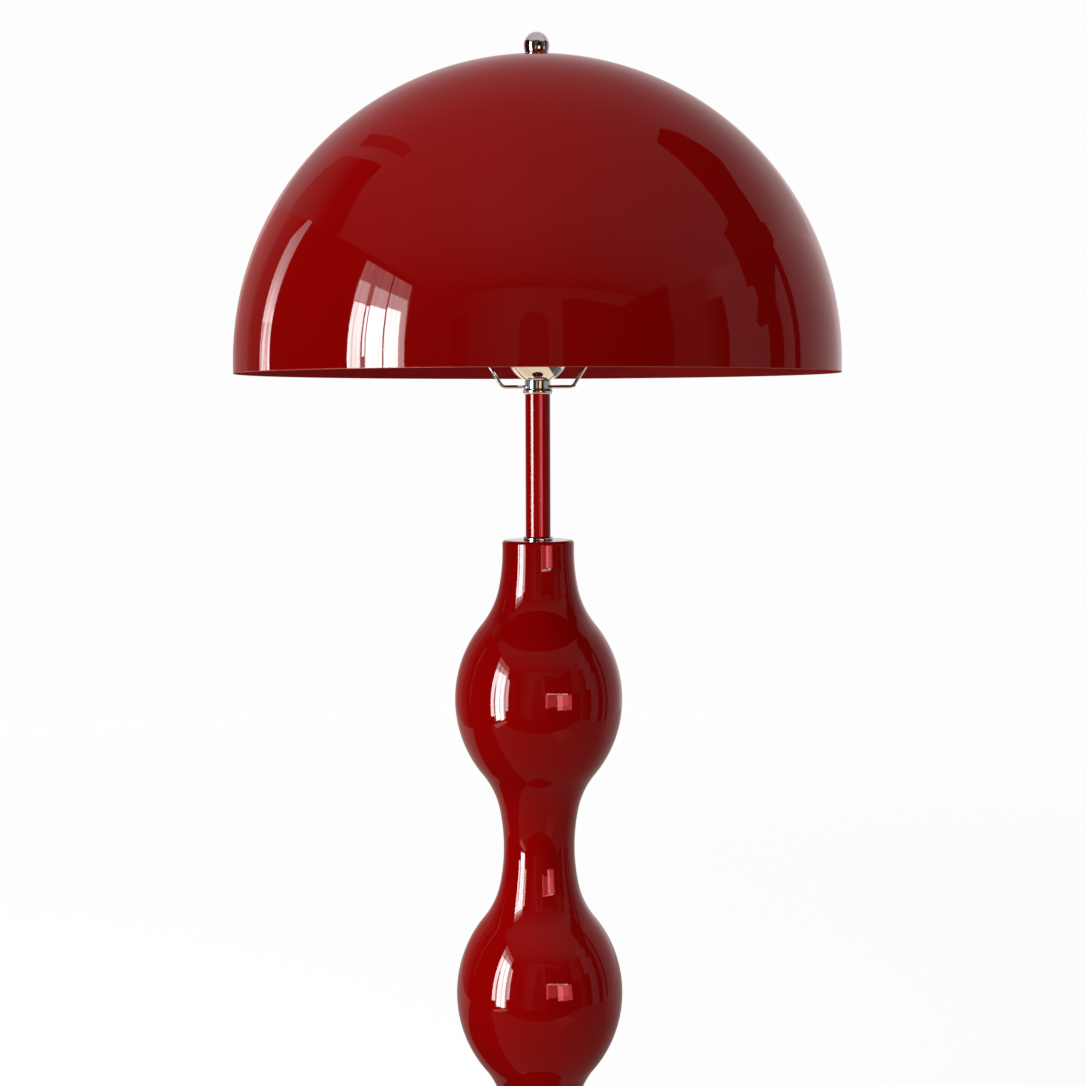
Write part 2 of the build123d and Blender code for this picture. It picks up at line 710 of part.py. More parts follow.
# ---------------------------------------------------------------------------
# Lampholder
# ---------------------------------------------------------------------------
with BuildPart() as lampholder_cup:
    bowl_z = cup_centre_z()
    rim_top_z = collar_top_z + cup_height
    inner_floor_z = collar_top_z + cup_wall
    inner_seat = sqrt((cup_radius - cup_wall) ** 2 - (bowl_z - inner_floor_z) ** 2)
    with BuildSketch(Plane.XZ):
        with BuildLine():
            Line((pipe_radius + thread_gap, collar_top_z), (cup_seat_radius, collar_top_z))
            arc_about((0, bowl_z), (cup_seat_radius, collar_top_z), (cup_radius, bowl_z))
            Polyline(
                (cup_radius, bowl_z),
                (cup_radius, rim_top_z),
                (cup_radius - cup_wall, rim_top_z),
                (cup_radius - cup_wall, bowl_z),
            )
            arc_about((0, bowl_z), (cup_radius - cup_wall, bowl_z), (inner_seat, inner_floor_z))
            Polyline(
                (inner_seat, inner_floor_z),
                (pipe_radius + thread_gap, inner_floor_z),
                (pipe_radius + thread_gap, collar_top_z),
            )
        make_face()
    revolve(axis=Axis.Z)
    fillet(lampholder_cup.edges().group_by(Axis.Z)[-1], cup_rim_radius)
lampholder_cup.part.label = "lampholder_cup"

with BuildPart() as lampholder_body:
    socket_radius = shell_bore_radius + shell_thickness + thread_gap
    cone_bottom_z = holder_base_z + holder_base_height
    cone_top_z = cone_bottom_z + holder_cone_height
    with BuildSketch(Plane.XZ):
        with BuildLine():
            Polyline(
                (pipe_radius + thread_gap, holder_base_z),
                (holder_base_radius, holder_base_z),
                (holder_base_radius, cone_bottom_z),
                (holder_radius, cone_top_z),
                (holder_radius, holder_top_z),
                (socket_radius, holder_top_z),
                (socket_radius, socket_floor_z),
                (pipe_radius - slip_gap, socket_floor_z),
                (pipe_radius - slip_gap, pipe_top_z + slip_gap),
                (pipe_radius + thread_gap, pipe_top_z + slip_gap),
                close=True,
            )
        make_face()
    revolve(axis=Axis.Z)
    outer_rim = lampholder_body.edges().group_by(Axis.Z)[-1].sort_by(SortBy.RADIUS)[-1]
    fillet(outer_rim, holder_rim_radius)
lampholder_body.part.label = "lampholder_body"

with BuildPart() as socket_shell:
    with BuildSketch(Plane.XY.offset(socket_floor_z + contact_rise)):
        Circle(shell_bore_radius + shell_thickness)
        Circle(shell_bore_radius, mode=Mode.SUBTRACT)
    extrude(amount=holder_top_z - shell_recess - socket_floor_z - contact_rise)
socket_shell.part.label = "socket_shell"

with BuildPart() as centre_contact:
    with BuildSketch(Plane.XZ):
        with BuildLine():
            strip_top = socket_floor_z + contact_rise
            Polyline(
                (contact_foot, socket_floor_z),
                (contact_foot + contact_rise / 2, socket_floor_z),
                (contact_foot + contact_rise / 2, socket_floor_z + contact_thickness),
                (contact_foot, socket_floor_z + contact_thickness),
                (contact_foot - contact_rise / 2, strip_top),
                (-tip_radius, strip_top),
                (-tip_radius, strip_top - contact_thickness),
                (contact_foot - contact_rise / 2, strip_top - contact_thickness),
                close=True,
            )
        make_face()
    extrude(amount=contact_width / 2, both=True)
centre_contact.part.label = "centre_contact"

# ---------------------------------------------------------------------------
# Bulb
# ---------------------------------------------------------------------------
cap_root_radius = cap_crest_radius - cap_thread_depth

with BuildPart() as bulb_insulator:
    with BuildSketch(Plane.XZ):
        with BuildLine():
            Polyline(
                (0, tip_bottom_z),
                (tip_radius, tip_bottom_z),
                (tip_radius, tip_bottom_z + tip_height),
                (cap_root_radius - insulator_step, cap_bottom_z),
                (0, cap_bottom_z),
                close=True,
            )
        make_face()
    revolve(axis=Axis.Z)
bulb_insulator.part.label = "bulb_insulator"

with BuildPart() as bulb_cap:
    with BuildSketch(Plane.XZ):
        with BuildLine():
            for turn in range(cap_thread_count):
                turn_z = cap_bottom_z + turn * cap_thread_pitch
                ThreePointArc(
                    (cap_root_radius, turn_z),
                    (cap_crest_radius, turn_z + cap_thread_pitch / 2),
                    (cap_root_radius, turn_z + cap_thread_pitch),
                )
            Polyline(
                (cap_root_radius, cap_top_z),
                (0, cap_top_z),
                (0, cap_bottom_z),
                (cap_root_radius, cap_bottom_z),
            )
        make_face()
    revolve(axis=Axis.Z)
bulb_cap.part.label = "bulb_cap"

with BuildPart() as bulb_globe:
    with BuildSketch(Plane.XZ):
        with BuildLine():
            draw_globe_side(0)
            draw_globe_side(globe_wall)
            Line((globe_neck_radius, cap_top_z), (globe_neck_radius - globe_wall, cap_top_z))
            globe_top_z = globe_centre_z() + globe_diameter / 2
            Line((0, globe_top_z), (0, globe_top_z - globe_wall))
        make_face()
    revolve(axis=Axis.Z)
bulb_globe.part.label = "bulb_globe"

# ---------------------------------------------------------------------------
# One file for each piece, and the sizes that the record quotes
# ---------------------------------------------------------------------------
pieces = [
    foot_pads, bottom_plate, bottom_plate_screws, foot_weight, foot_cover, inlet_bushing,
    lower_pipe, upper_pipe, pipe_nut, lock_washer, pipe_coupler,
    foot_spigot, column_spigot, column_lower, column_upper,
    lower_check_ring, stem, upper_check_ring, harp_collar, harp,
    swivel_stud, crown_plate, shade, captive_washer, finial,
    lampholder_cup, lampholder_body, socket_shell, centre_contact,
    bulb_insulator, bulb_cap, bulb_globe,
]
for piece in pieces:
    export_step(piece.part, f"parts/{piece.part.label}.step")

print("lamp height", round(finial_bottom_z + finial_height, 3))
print("shade rim height", round(rim_z, 3))
print("column top height", round(column_top_z, 3))
print("globe top height", round(globe_top_z, 3))
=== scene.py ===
import math

import bmesh
import bpy
from mathutils import Euler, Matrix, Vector


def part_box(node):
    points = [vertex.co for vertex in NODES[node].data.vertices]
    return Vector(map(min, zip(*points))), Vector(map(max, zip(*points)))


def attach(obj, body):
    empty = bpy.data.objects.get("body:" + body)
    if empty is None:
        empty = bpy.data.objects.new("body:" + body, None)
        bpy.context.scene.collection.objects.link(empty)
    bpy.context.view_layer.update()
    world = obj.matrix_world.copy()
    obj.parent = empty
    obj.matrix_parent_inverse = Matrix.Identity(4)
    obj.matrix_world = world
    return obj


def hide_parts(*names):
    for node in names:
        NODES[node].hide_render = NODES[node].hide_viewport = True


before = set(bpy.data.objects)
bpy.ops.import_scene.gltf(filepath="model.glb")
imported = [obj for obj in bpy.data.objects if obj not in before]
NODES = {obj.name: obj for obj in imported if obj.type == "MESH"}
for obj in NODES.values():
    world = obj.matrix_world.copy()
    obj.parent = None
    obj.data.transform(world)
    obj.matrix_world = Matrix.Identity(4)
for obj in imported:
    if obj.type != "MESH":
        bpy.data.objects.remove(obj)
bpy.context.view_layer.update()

bl_info = {
    "name": "Mushroom floor lamp",
    "version": (1, 0, 0),
    "blender": (4, 5, 0),
    "location": "3D View > Sidebar > Floor lamp",
    "description": "Dresses the packed floor lamp in lacquer, chrome and opal glass, "
                   "and sets it in a pale studio",
    "category": "Object",
}

MM = 0.001
CHROMED = ("lower_check_ring", "upper_check_ring", "harp_collar", "harp", "lampholder_cup", "swivel_stud",
           "crown_plate", "captive_washer", "finial")

# A wave texture whose waves are w metres long has a scale of WAVE / w.
WAVE = 2 * math.pi / 20
# A mix node's two colour inputs and its colour output.
FIRST, SECOND, MIXED = 6, 7, 2


# ------------------------------
# Colours and nodes
# ------------------------------
def linear(hex_colour):
    """An sRGB hex value such as "#8b0000" as linear red, green, blue and an alpha of 1."""
    digits = hex_colour.lstrip("#")
    shades = [int(digits[i:i + 2], 16) / 255 for i in (0, 2, 4)]
    return tuple(s / 12.92 if s <= 0.04045 else ((s + 0.055) / 1.055) ** 2.4 for s in shades) + (1.0,)


def feed(tree, node, feeds):
    """Feed a node's inputs from plain values, from sockets, or from the first output of other nodes."""
    for key, value in feeds.items():
        if isinstance(value, bpy.types.Node):
            value = value.outputs[0]
        if isinstance(value, bpy.types.NodeSocket):
            tree.links.new(value, node.inputs[key])
        else:
            node.inputs[key].default_value = value


def add_node(tree, kind, settings=None, feeds=None):
    """Add a node of one kind to a tree, with its settings and what feeds it."""
    node = tree.nodes.new(kind)
    for name, value in (settings or {}).items():
        setattr(node, name, value)
    feed(tree, node, feeds or {})
    return node


def new_material(name):
    """A new material and its empty tree."""
    material = bpy.data.materials.new(name)
    material.use_nodes = True
    material.node_tree.nodes.clear()
    return material, material.node_tree


def new_surface(name, **fixed):
    """A new material with one principled shader, whose fixed sockets are set.
    Gives the material, its tree, its shader and the Object coordinates."""
    material, tree = new_material(name)
    shader = add_node(tree, "ShaderNodeBsdfPrincipled", feeds={
        socket.replace("_", " ").title().replace("Ior", "IOR"): value for socket, value in fixed.items()})
    add_node(tree, "ShaderNodeOutputMaterial", feeds={"Surface": shader})
    return material, tree, shader, add_node(tree, "ShaderNodeTexCoord").outputs["Object"]


# ------------------------------
# Sizes and colours that a user would change
# ------------------------------
def length(name, description, default, low, high):
    return bpy.props.FloatProperty(
        name=name, description=description, default=default, min=low, max=high,
        subtype="DISTANCE", unit="LENGTH")


def ratio(name, description, default, low, high):
    return bpy.props.FloatProperty(name=name, description=description, default=default, min=low, max=high)


def count(name, description, default, low, high):
    return bpy.props.IntProperty(name=name, description=description, default=default, min=low, max=high)


def colour(name, description, hex_colour):
    return bpy.props.FloatVectorProperty(
        name=name, description=description, default=linear(hex_colour)[:3], size=3, min=0.0, max=1.0,
        subtype="COLOR")


def power(name, description, watts):
    return bpy.props.FloatProperty(
        name=name, description=description, default=watts, min=0.0, max=400.0, subtype="POWER", unit="POWER")


class ColumnSizes(bpy.types.PropertyGroup):
    bubble_diameter: length("Bubble diameter", "Widest size of each bubble of the column", 166 * MM, 0.08, 0.4)
    waist_diameter: length(
        "Waist diameter", "Narrowest size of the column, between two bubbles", 69 * MM, 0.03, 0.2)
    bubble_pitch: length("Bubble pitch", "Height from one waist to the next", 302 * MM, 0.15, 0.6)
    bubble_arc_share: ratio(
        "Bubble arc", "Radius of a bubble's middle arc, as a share of the two arcs' sum", 0.4531, 0.2, 0.6)
    shoulder_arc_share: ratio(
        "Shoulder arc", "Radius of the hollow arc beside a bubble, as a share of the two arcs' sum",
        0.3363, 0.1, 0.6)
    waist_arc_share: ratio(
        "Waist arc", "Radius of the arc at a waist, as a share of the two arcs' sum", 0.7559, 0.4, 1.2)
    wall: length("Wall", "Thickness of the spun steel", 1.5 * MM, 0.0005, 0.005)
    edge_radius: length("Top edge radius", "Rounding of the column's top edge", 2 * MM, 0.0005, 0.006)
    around: count("Steps around", "Faces around the column", 144, 24, 256)
    rings: count("Rings in a bubble", "Faces from one waist to the next", 120, 16, 240)


class FinialSizes(bpy.types.PropertyGroup):
    diameter: length("Finial diameter", "Size of the ball across its middle", 25 * MM, 0.01, 0.05)
    lower_length: ratio(
        "Drawn out", "Height of the ball's lower half before it is cut flat, as a share of its radius",
        1.5, 1.02, 3.0)


class LampFinish(bpy.types.PropertyGroup):
    lacquer: colour("Lacquer", "Colour of the gloss lacquer on the shade, stem, column and foot", "#940201")
    lacquer_shade: colour("Lacquer shade", "Deeper tone that the lacquer drifts to", "#8b0100")
    chrome: colour("Chrome", "Colour of the plated rings, harp, cup and finial", "#c6c7c9")
    opal: colour("Opal glass", "Colour of the bulb", "#f3efe4")


class StudioLight(bpy.types.PropertyGroup):
    key: power("Key light", "Power of the lamp at the front left, above the shade's rim", 12.0)
    top: power("Top light", "Power of the lamp overhead, at the left", 30.0)
    low: power("Low light", "Power of the lamp at the front left that lights only the stem and column", 22.0)
    slim: power("Stem light", "Power of the lamp that lights only the stem, which the shade keeps dark", 19.0)
    air: ratio("Air", "Strength of the light that comes evenly from all round", 0.48, 0.0, 2.0)


class FloorLamp(bpy.types.PropertyGroup):
    column: bpy.props.PointerProperty(type=ColumnSizes)
    finial: bpy.props.PointerProperty(type=FinialSizes)
    finish: bpy.props.PointerProperty(type=LampFinish)
    light: bpy.props.PointerProperty(type=StudioLight)


# ------------------------------
# Surfaces
# ------------------------------
def gloss_lacquer(name="gloss_lacquer_sprayed"):
    """Red lacquer, sprayed on spun steel and baked. Gives what new_surface gives."""
    # Gives the eye a wet, mirror-like skin whose reflections ripple a little.
    finish = bpy.context.scene.floor_lamp.finish
    material, tree, shader, place = new_surface(name, ior=1.5)
    # Sprayed coats differ a little in depth, in clouds about 150 mm wide.
    clouds = add_node(tree, "ShaderNodeTexNoise", feeds={
        "Vector": place, "Scale": 1 / (150 * MM), "Detail": 2.0})
    depth = add_node(tree, "ShaderNodeMix", {"data_type": "RGBA"}, {
        "Factor": clouds, FIRST: (*finish.lacquer, 1.0), SECOND: (*finish.lacquer_shade, 1.0)})
    # Dust and wiping leave the gloss uneven, in patches about 40 mm wide.
    wiped = add_node(tree, "ShaderNodeTexNoise", feeds={"Vector": place, "Scale": 1 / (40 * MM), "Detail": 3.0})
    gloss = add_node(tree, "ShaderNodeMapRange", feeds={
        "Value": wiped, "From Min": 0.3, "From Max": 0.7, "To Min": 0.02, "To Max": 0.045})
    # Orange peel: sprayed lacquer dries in soft waves about 6 mm apart and a few microns deep.
    peel = add_node(tree, "ShaderNodeTexNoise", feeds={"Vector": place, "Scale": 1 / (6 * MM), "Detail": 0.0})
    peeled = add_node(tree, "ShaderNodeBump", feeds={"Height": peel, "Distance": 0.003 * MM, "Strength": 1.0})
    # Spinning leaves long, shallow waves in the steel, about 90 mm apart.
    spun = add_node(tree, "ShaderNodeTexNoise", feeds={"Vector": place, "Scale": 1 / (90 * MM), "Detail": 0.0})
    waved = add_node(tree, "ShaderNodeBump", feeds={
        "Height": spun, "Distance": 0.25 * MM, "Strength": 1.0, "Normal": peeled})
    feed(tree, shader, {"Base Color": depth.outputs[MIXED], "Roughness": gloss, "Normal": waved})
    return material, tree, shader, place


def shade_lacquer():
    """The shade's lacquer: gloss outside, dull inside with a painted brighter red, and a dull rim painted with
    a pale highlight.
    """
    # Gives the eye a mirror outside, a dull, even red inside, painted brighter, and a painted pale highlight
    # along the rim.
    material, tree, shader, place = gloss_lacquer("gloss_lacquer_shade")
    low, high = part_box("shade")
    skirt, half_wall, dullness = 10.3 * MM, 0.6 * MM, 0.8
    # The dome's centre is level with its upright skirt's top. The wall is 1.2 mm thick, so whatever is
    # more than 0.6 mm inside the outer sphere is the inside.
    from_middle = add_node(tree, "ShaderNodeVectorMath", {"operation": "DISTANCE"}, {
        0: place, 1: (0.0, 0.0, low.z + skirt)})
    outside = add_node(tree, "ShaderNodeMath", {"operation": "GREATER_THAN"}, {
        0: from_middle.outputs["Value"], 1: high.x - half_wall})
    gloss = shader.inputs["Roughness"].links[0].from_socket
    sheen = add_node(tree, "ShaderNodeMix", {"data_type": "FLOAT"}, {0: outside, 2: dullness, 3: gloss})
    # The last millimetre above the rim is made rough, and its colour is a painted highlight: the pale warm
    # shine of the lit floor on the rim's edge.
    part = add_node(tree, "ShaderNodeSeparateXYZ", feeds={0: place})
    edge = add_node(tree, "ShaderNodeMapRange", {"interpolation_type": "SMOOTHSTEP"}, {
        "Value": part.outputs["Z"], "From Min": low.z + 0.9 * MM, "From Max": low.z + 0.3 * MM,
        "To Min": 0.0, "To Max": 0.75})
    dull = add_node(tree, "ShaderNodeMix", {"data_type": "FLOAT"}, {0: edge, 2: sheen, 3: dullness})
    # The inside is given a brighter red than the outside: painted light that lifts the inside out of the shade
    # the dome casts on it.
    red = shader.inputs["Base Color"].links[0].from_socket
    painted_inside_light = add_node(tree, "ShaderNodeMix", {"data_type": "RGBA"}, {
        "Factor": outside, FIRST: linear("#b80503"), SECOND: red})
    # A pale warm colour painted on the rim's last millimetre: a painted highlight, not primer.
    painted_rim_highlight = add_node(tree, "ShaderNodeMix", {"data_type": "RGBA"}, {
        "Factor": edge, FIRST: painted_inside_light.outputs[MIXED], SECOND: linear("#b8543f")})
    feed(tree, shader, {"Roughness": dull, "Base Color": painted_rim_highlight.outputs[MIXED]})
    return material


def blotched(name, width, colours, roughness, relief=0.0, detail=4.0, spread=(0.0, 1.0),
             texture="ShaderNodeTexNoise", **fixed):
    """A surface whose colour, roughness and relief drift together, in blotches about width metres across.
    spread is the part of the texture's range that the roughness follows. Gives what new_surface gives."""
    material, tree, shader, place = new_surface(name, **fixed)
    blotches = add_node(tree, texture, feeds={"Vector": place, "Scale": 1 / width, "Detail": detail})
    tint = add_node(tree, "ShaderNodeMix", {"data_type": "RGBA"}, {
        "Factor": blotches, FIRST: colours[0], SECOND: colours[1]})
    gloss = add_node(tree, "ShaderNodeMapRange", feeds={
        "Value": blotches, "From Min": spread[0], "From Max": spread[1],
        "To Min": roughness[0], "To Max": roughness[1]})
    feed(tree, shader, {"Base Color": tint.outputs[MIXED], "Roughness": gloss})
    if relief:
        feed(tree, shader, {"Normal": add_node(tree, "ShaderNodeBump", feeds={
            "Height": blotches, "Distance": relief, "Strength": 1.0})})
    return material, tree, shader, place


def polished_chrome():
    """Chromium plate on polished brass and steel."""
    # Gives the eye a cool grey mirror with faint hairlines from wiping.
    finish = bpy.context.scene.floor_lamp.finish
    material, tree, shader, place = blotched(
        "chrome_plate_polished", 12 * MM, ((*finish.chrome, 1.0), linear("#bcbdc1")), (0.03, 0.09),
        spread=(0.3, 0.7), metallic=1.0)
    # Wiping scratches are under 0.05 mm apart, so they are drawn 0.5 mm apart to show at all.
    hairlines = add_node(tree, "ShaderNodeTexWave", {"bands_direction": "Z"}, {
        "Vector": place, "Scale": WAVE / (0.5 * MM), "Distortion": 6.0, "Detail": 3.0})
    scratched = add_node(tree, "ShaderNodeBump", feeds={
        "Height": hairlines.outputs["Fac"], "Distance": 0.0005 * MM, "Strength": 1.0})
    feed(tree, shader, {"Normal": scratched})
    return material


def opal_glass():
    """Blown opal glass, its inside frosted."""
    # Gives the eye a milky, soft white globe with a broad gloss.
    finish = bpy.context.scene.floor_lamp.finish
    return blotched(
        "opal_glass_blown", 30 * MM, ((*finish.opal, 1.0), linear("#ece8dd")), (0.22, 0.34), 0.05 * MM, 2.0,
        ior=1.5, subsurface_weight=0.35, subsurface_scale=0.004)[0]


def nickel_cap():
    """Nickel plate on a pressed brass cap."""
    # Gives the eye a warm grey metal, dulled and dented where it has been screwed in.
    return blotched("nickel_plate_pressed", 5 * MM, (linear("#cfc8bc"), linear("#a79f92")), (0.16, 0.34),
                    0.02 * MM, metallic=1.0)[0]


def pressed_brass():
    """Bare brass, pressed from strip."""
    # Gives the eye a yellow metal browned by handling.
    return blotched("brass_pressed", 4 * MM, (linear("#d9b35c"), linear("#a07c38")), (0.2, 0.42),
                    detail=5.0, metallic=1.0)[0]


def zinc_thread():
    """Bright zinc plate on screw-cut steel."""
    # Gives the eye a cool, spangled satin metal ringed by its thread.
    material, tree, shader, place = blotched(
        "zinc_plate_screw_cut", 2.5 * MM, (linear("#c3c8cd"), linear("#9ba2a8")), (0.24, 0.4), detail=0.0,
        texture="ShaderNodeTexVoronoi", metallic=1.0)
    # A 1 mm thread, drawn as rings.
    thread = add_node(tree, "ShaderNodeTexWave", {"bands_direction": "Z"}, {
        "Vector": place, "Scale": WAVE / (1 * MM), "Distortion": 0.0})
    cut = add_node(tree, "ShaderNodeBump", feeds={
        "Height": thread.outputs["Fac"], "Distance": 0.4 * MM, "Strength": 0.6})
    feed(tree, shader, {"Normal": cut})
    return material


def powder_coated_plate():
    """Black powder coat on sheet steel."""
    # Gives the eye a dark sheet with a fine, even pebble.
    return blotched("powder_coat_baked", 1.2 * MM, (linear("#1b1b1d"), linear("#111113")), (0.42, 0.62),
                    0.12 * MM, 2.0)[0]


def sand_cast_iron():
    """Grey iron, cast in sand and left raw."""
    # Gives the eye a dark, gritty metal with patches of brown rust.
    material, tree, shader, place = new_surface("iron_sand_cast")
    grit = add_node(tree, "ShaderNodeTexNoise", feeds={"Vector": place, "Scale": 1 / (2 * MM), "Detail": 5.0})
    gloss = add_node(tree, "ShaderNodeMapRange", feeds={"Value": grit, "To Min": 0.6, "To Max": 0.9})
    skin = add_node(tree, "ShaderNodeBump", feeds={"Height": grit, "Distance": 0.5 * MM, "Strength": 1.0})
    # The rust spreads in patches about 35 mm wide.
    rust = add_node(tree, "ShaderNodeTexNoise", feeds={"Vector": place, "Scale": 1 / (35 * MM), "Detail": 4.0})
    where = add_node(tree, "ShaderNodeMapRange", feeds={"Value": rust, "From Min": 0.5, "From Max": 0.7})
    tint = add_node(tree, "ShaderNodeMix", {"data_type": "RGBA"}, {
        "Factor": where, FIRST: linear("#3d3d40"), SECOND: linear("#5a3f30")})
    feed(tree, shader, {"Base Color": tint.outputs[MIXED], "Roughness": gloss, "Normal": skin})
    return material


def moulded_plastic():
    """Black phenolic plastic, moulded."""
    # Gives the eye a near-black, half-gloss surface with a slight flow mark.
    return blotched("phenolic_moulded", 8 * MM, (linear("#151515"), linear("#0c0c0d")), (0.26, 0.44),
                    0.04 * MM, 3.0)[0]


def pad_rubber():
    """Black rubber, moulded."""
    # Gives the eye a dull, dusty grey-black.
    return blotched("rubber_moulded", 3 * MM, (linear("#1d1d1e"), linear("#2c2b2a")), (0.7, 0.92), 0.08 * MM)[0]


# ------------------------------
# Pieces
# ------------------------------
def dress(surface, *names):
    """Give CAD nodes a surface, in their own material slots."""
    for name in names:
        node = NODES[name]
        if not node.material_slots:
            node.data.materials.append(surface)
        for slot in node.material_slots:
            slot.material = surface


def link(name, mesh):
    """A new object for a mesh, at the origin."""
    piece = bpy.data.objects.new(name, mesh)
    bpy.context.scene.collection.objects.link(piece)
    return piece


def arc_reach_tree():
    """How far an arc's edge is from its centre line, at an offset along that line."""
    tree = bpy.data.node_groups.new("arc_reach", "GeometryNodeTree")
    for name in ("Radius", "Offset"):
        tree.interface.new_socket(name=name, in_out="INPUT", socket_type="NodeSocketFloat")
    tree.interface.new_socket(name="Reach", in_out="OUTPUT", socket_type="NodeSocketFloat")
    given = add_node(tree, "NodeGroupInput").outputs
    radius_squared, offset_squared = (
        add_node(tree, "ShaderNodeMath", {"operation": "MULTIPLY"}, {0: given[name], 1: given[name]})
        for name in ("Radius", "Offset"))
    left_over = add_node(tree, "ShaderNodeMath", {"operation": "SUBTRACT"}, {
        0: radius_squared, 1: offset_squared})
    reach = add_node(tree, "ShaderNodeMath", {"operation": "SQRT"}, {0: left_over})
    add_node(tree, "NodeGroupOutput", feeds={"Reach": reach})
    return tree


def bubbled_column_tree():
    """A tube around the Z axis that swells into equal bubbles, each made of three kinds of arc."""
    tree = bpy.data.node_groups.new("bubbled_column", "GeometryNodeTree")
    kinds = {
        "NodeSocketFloat": ("Bottom", "Height", "Half Pitch", "Bubble Radius", "Bubble Arc", "Shoulder Arc",
                            "Shoulder Across", "Shoulder Up", "Waist Radius", "Waist Arc", "Bubble Join",
                            "Waist Join"),
        "NodeSocketInt": ("Around", "Rings"), "NodeSocketMaterial": ("Finish",)}
    for kind, names in kinds.items():
        for name in names:
            tree.interface.new_socket(name=name, in_out="INPUT", socket_type=kind)
    tree.interface.new_socket(name="Geometry", in_out="OUTPUT", socket_type="NodeSocketGeometry")
    size = add_node(tree, "NodeGroupInput").outputs
    arc_reach = arc_reach_tree()

    # A flat sheet: across it runs the angle, from -pi to pi, and up it runs the height.
    sheet = add_node(tree, "GeometryNodeMeshGrid", feeds={
        "Size X": 2 * math.pi, "Size Y": size["Height"],
        "Vertices X": size["Around"], "Vertices Y": size["Rings"]})
    spot = add_node(tree, "GeometryNodeInputPosition")
    part = add_node(tree, "ShaderNodeSeparateXYZ", feeds={0: spot}).outputs
    half_height = add_node(tree, "ShaderNodeMath", {"operation": "MULTIPLY"}, {0: size["Height"], 1: 0.5})
    risen = add_node(tree, "ShaderNodeMath", {"operation": "ADD"}, {0: part["Y"], 1: half_height})
    height = add_node(tree, "ShaderNodeMath", {"operation": "ADD"}, {0: risen, 1: size["Bottom"]})

    # Height from the middle of the nearest bubble.
    from_first = add_node(tree, "ShaderNodeMath", {"operation": "SUBTRACT"}, {0: risen, 1: size["Half Pitch"]})
    away = add_node(tree, "ShaderNodeMath", {"operation": "PINGPONG"}, {0: from_first, 1: size["Half Pitch"]})

    # The bubble's own arc.
    bubble_reach = add_node(tree, "GeometryNodeGroup", {"node_tree": arc_reach}, {
        "Radius": size["Bubble Arc"], "Offset": away})
    bubble_hub = add_node(tree, "ShaderNodeMath", {"operation": "SUBTRACT"}, {
        0: size["Bubble Radius"], 1: size["Bubble Arc"]})
    bubble_side = add_node(tree, "ShaderNodeMath", {"operation": "ADD"}, {0: bubble_hub, 1: bubble_reach})

    # The hollow shoulder.
    over_shoulder = add_node(tree, "ShaderNodeMath", {"operation": "SUBTRACT"}, {
        0: away, 1: size["Shoulder Up"]})
    shoulder_reach = add_node(tree, "GeometryNodeGroup", {"node_tree": arc_reach}, {
        "Radius": size["Shoulder Arc"], "Offset": over_shoulder})
    shoulder_side = add_node(tree, "ShaderNodeMath", {"operation": "SUBTRACT"}, {
        0: size["Shoulder Across"], 1: shoulder_reach})

    # The waist.
    over_waist = add_node(tree, "ShaderNodeMath", {"operation": "SUBTRACT"}, {0: away, 1: size["Half Pitch"]})
    waist_reach = add_node(tree, "GeometryNodeGroup", {"node_tree": arc_reach}, {
        "Radius": size["Waist Arc"], "Offset": over_waist})
    waist_hub = add_node(tree, "ShaderNodeMath", {"operation": "ADD"}, {
        0: size["Waist Radius"], 1: size["Waist Arc"]})
    waist_side = add_node(tree, "ShaderNodeMath", {"operation": "SUBTRACT"}, {0: waist_hub, 1: waist_reach})

    # The arc that holds at this height.
    past_bubble, past_shoulder = (
        add_node(tree, "FunctionNodeCompare", {"data_type": "FLOAT", "operation": "GREATER_THAN"}, {
            0: away, 1: size[join]}) for join in ("Bubble Join", "Waist Join"))
    upper_side = add_node(tree, "GeometryNodeSwitch", {"input_type": "FLOAT"}, {
        "Switch": past_shoulder, "False": shoulder_side, "True": waist_side})
    side = add_node(tree, "GeometryNodeSwitch", {"input_type": "FLOAT"}, {
        "Switch": past_bubble, "False": bubble_side, "True": upper_side})

    # The sheet is wrapped round the axis and sewn up.
    cosine, sine = (add_node(tree, "ShaderNodeMath", {"operation": operation}, {0: part["X"]})
                    for operation in ("COSINE", "SINE"))
    across, along = (add_node(tree, "ShaderNodeMath", {"operation": "MULTIPLY"}, {0: side, 1: turn})
                     for turn in (cosine, sine))
    wrapped = add_node(tree, "ShaderNodeCombineXYZ", feeds={0: across, 1: along, 2: height})
    tube = add_node(tree, "GeometryNodeSetPosition", feeds={"Geometry": sheet, "Position": wrapped})
    closed = add_node(tree, "GeometryNodeMergeByDistance", feeds={"Geometry": tube, "Distance": 0.01 * MM})
    smooth = add_node(tree, "GeometryNodeSetShadeSmooth", feeds={"Geometry": closed})
    real = add_node(tree, "GeometryNodeRealizeInstances", feeds={"Geometry": smooth})
    finished = add_node(tree, "GeometryNodeSetMaterial", feeds={"Geometry": real, "Material": size["Finish"]})
    add_node(tree, "NodeGroupOutput", feeds={"Geometry": finished})
    return tree


def run_tree(tree, values):
    """The plain mesh that a geometry tree makes from named values."""
    holder = link("holder", bpy.data.meshes.new("holder"))
    modifier = holder.modifiers.new("tree", "NODES")
    modifier.node_group = tree
    for socket in tree.interface.items_tree:
        if socket.item_type == "SOCKET" and socket.in_out == "INPUT" and socket.name in values:
            modifier[socket.identifier] = values[socket.name]
    held = holder.evaluated_get(bpy.context.evaluated_depsgraph_get())
    mesh = bpy.data.meshes.new_from_object(held)
    holder.modifiers.remove(modifier)
    bpy.data.objects.remove(holder)
    if not mesh.polygons:
        raise RuntimeError(f"the tree {tree.name} made no faces")
    return mesh


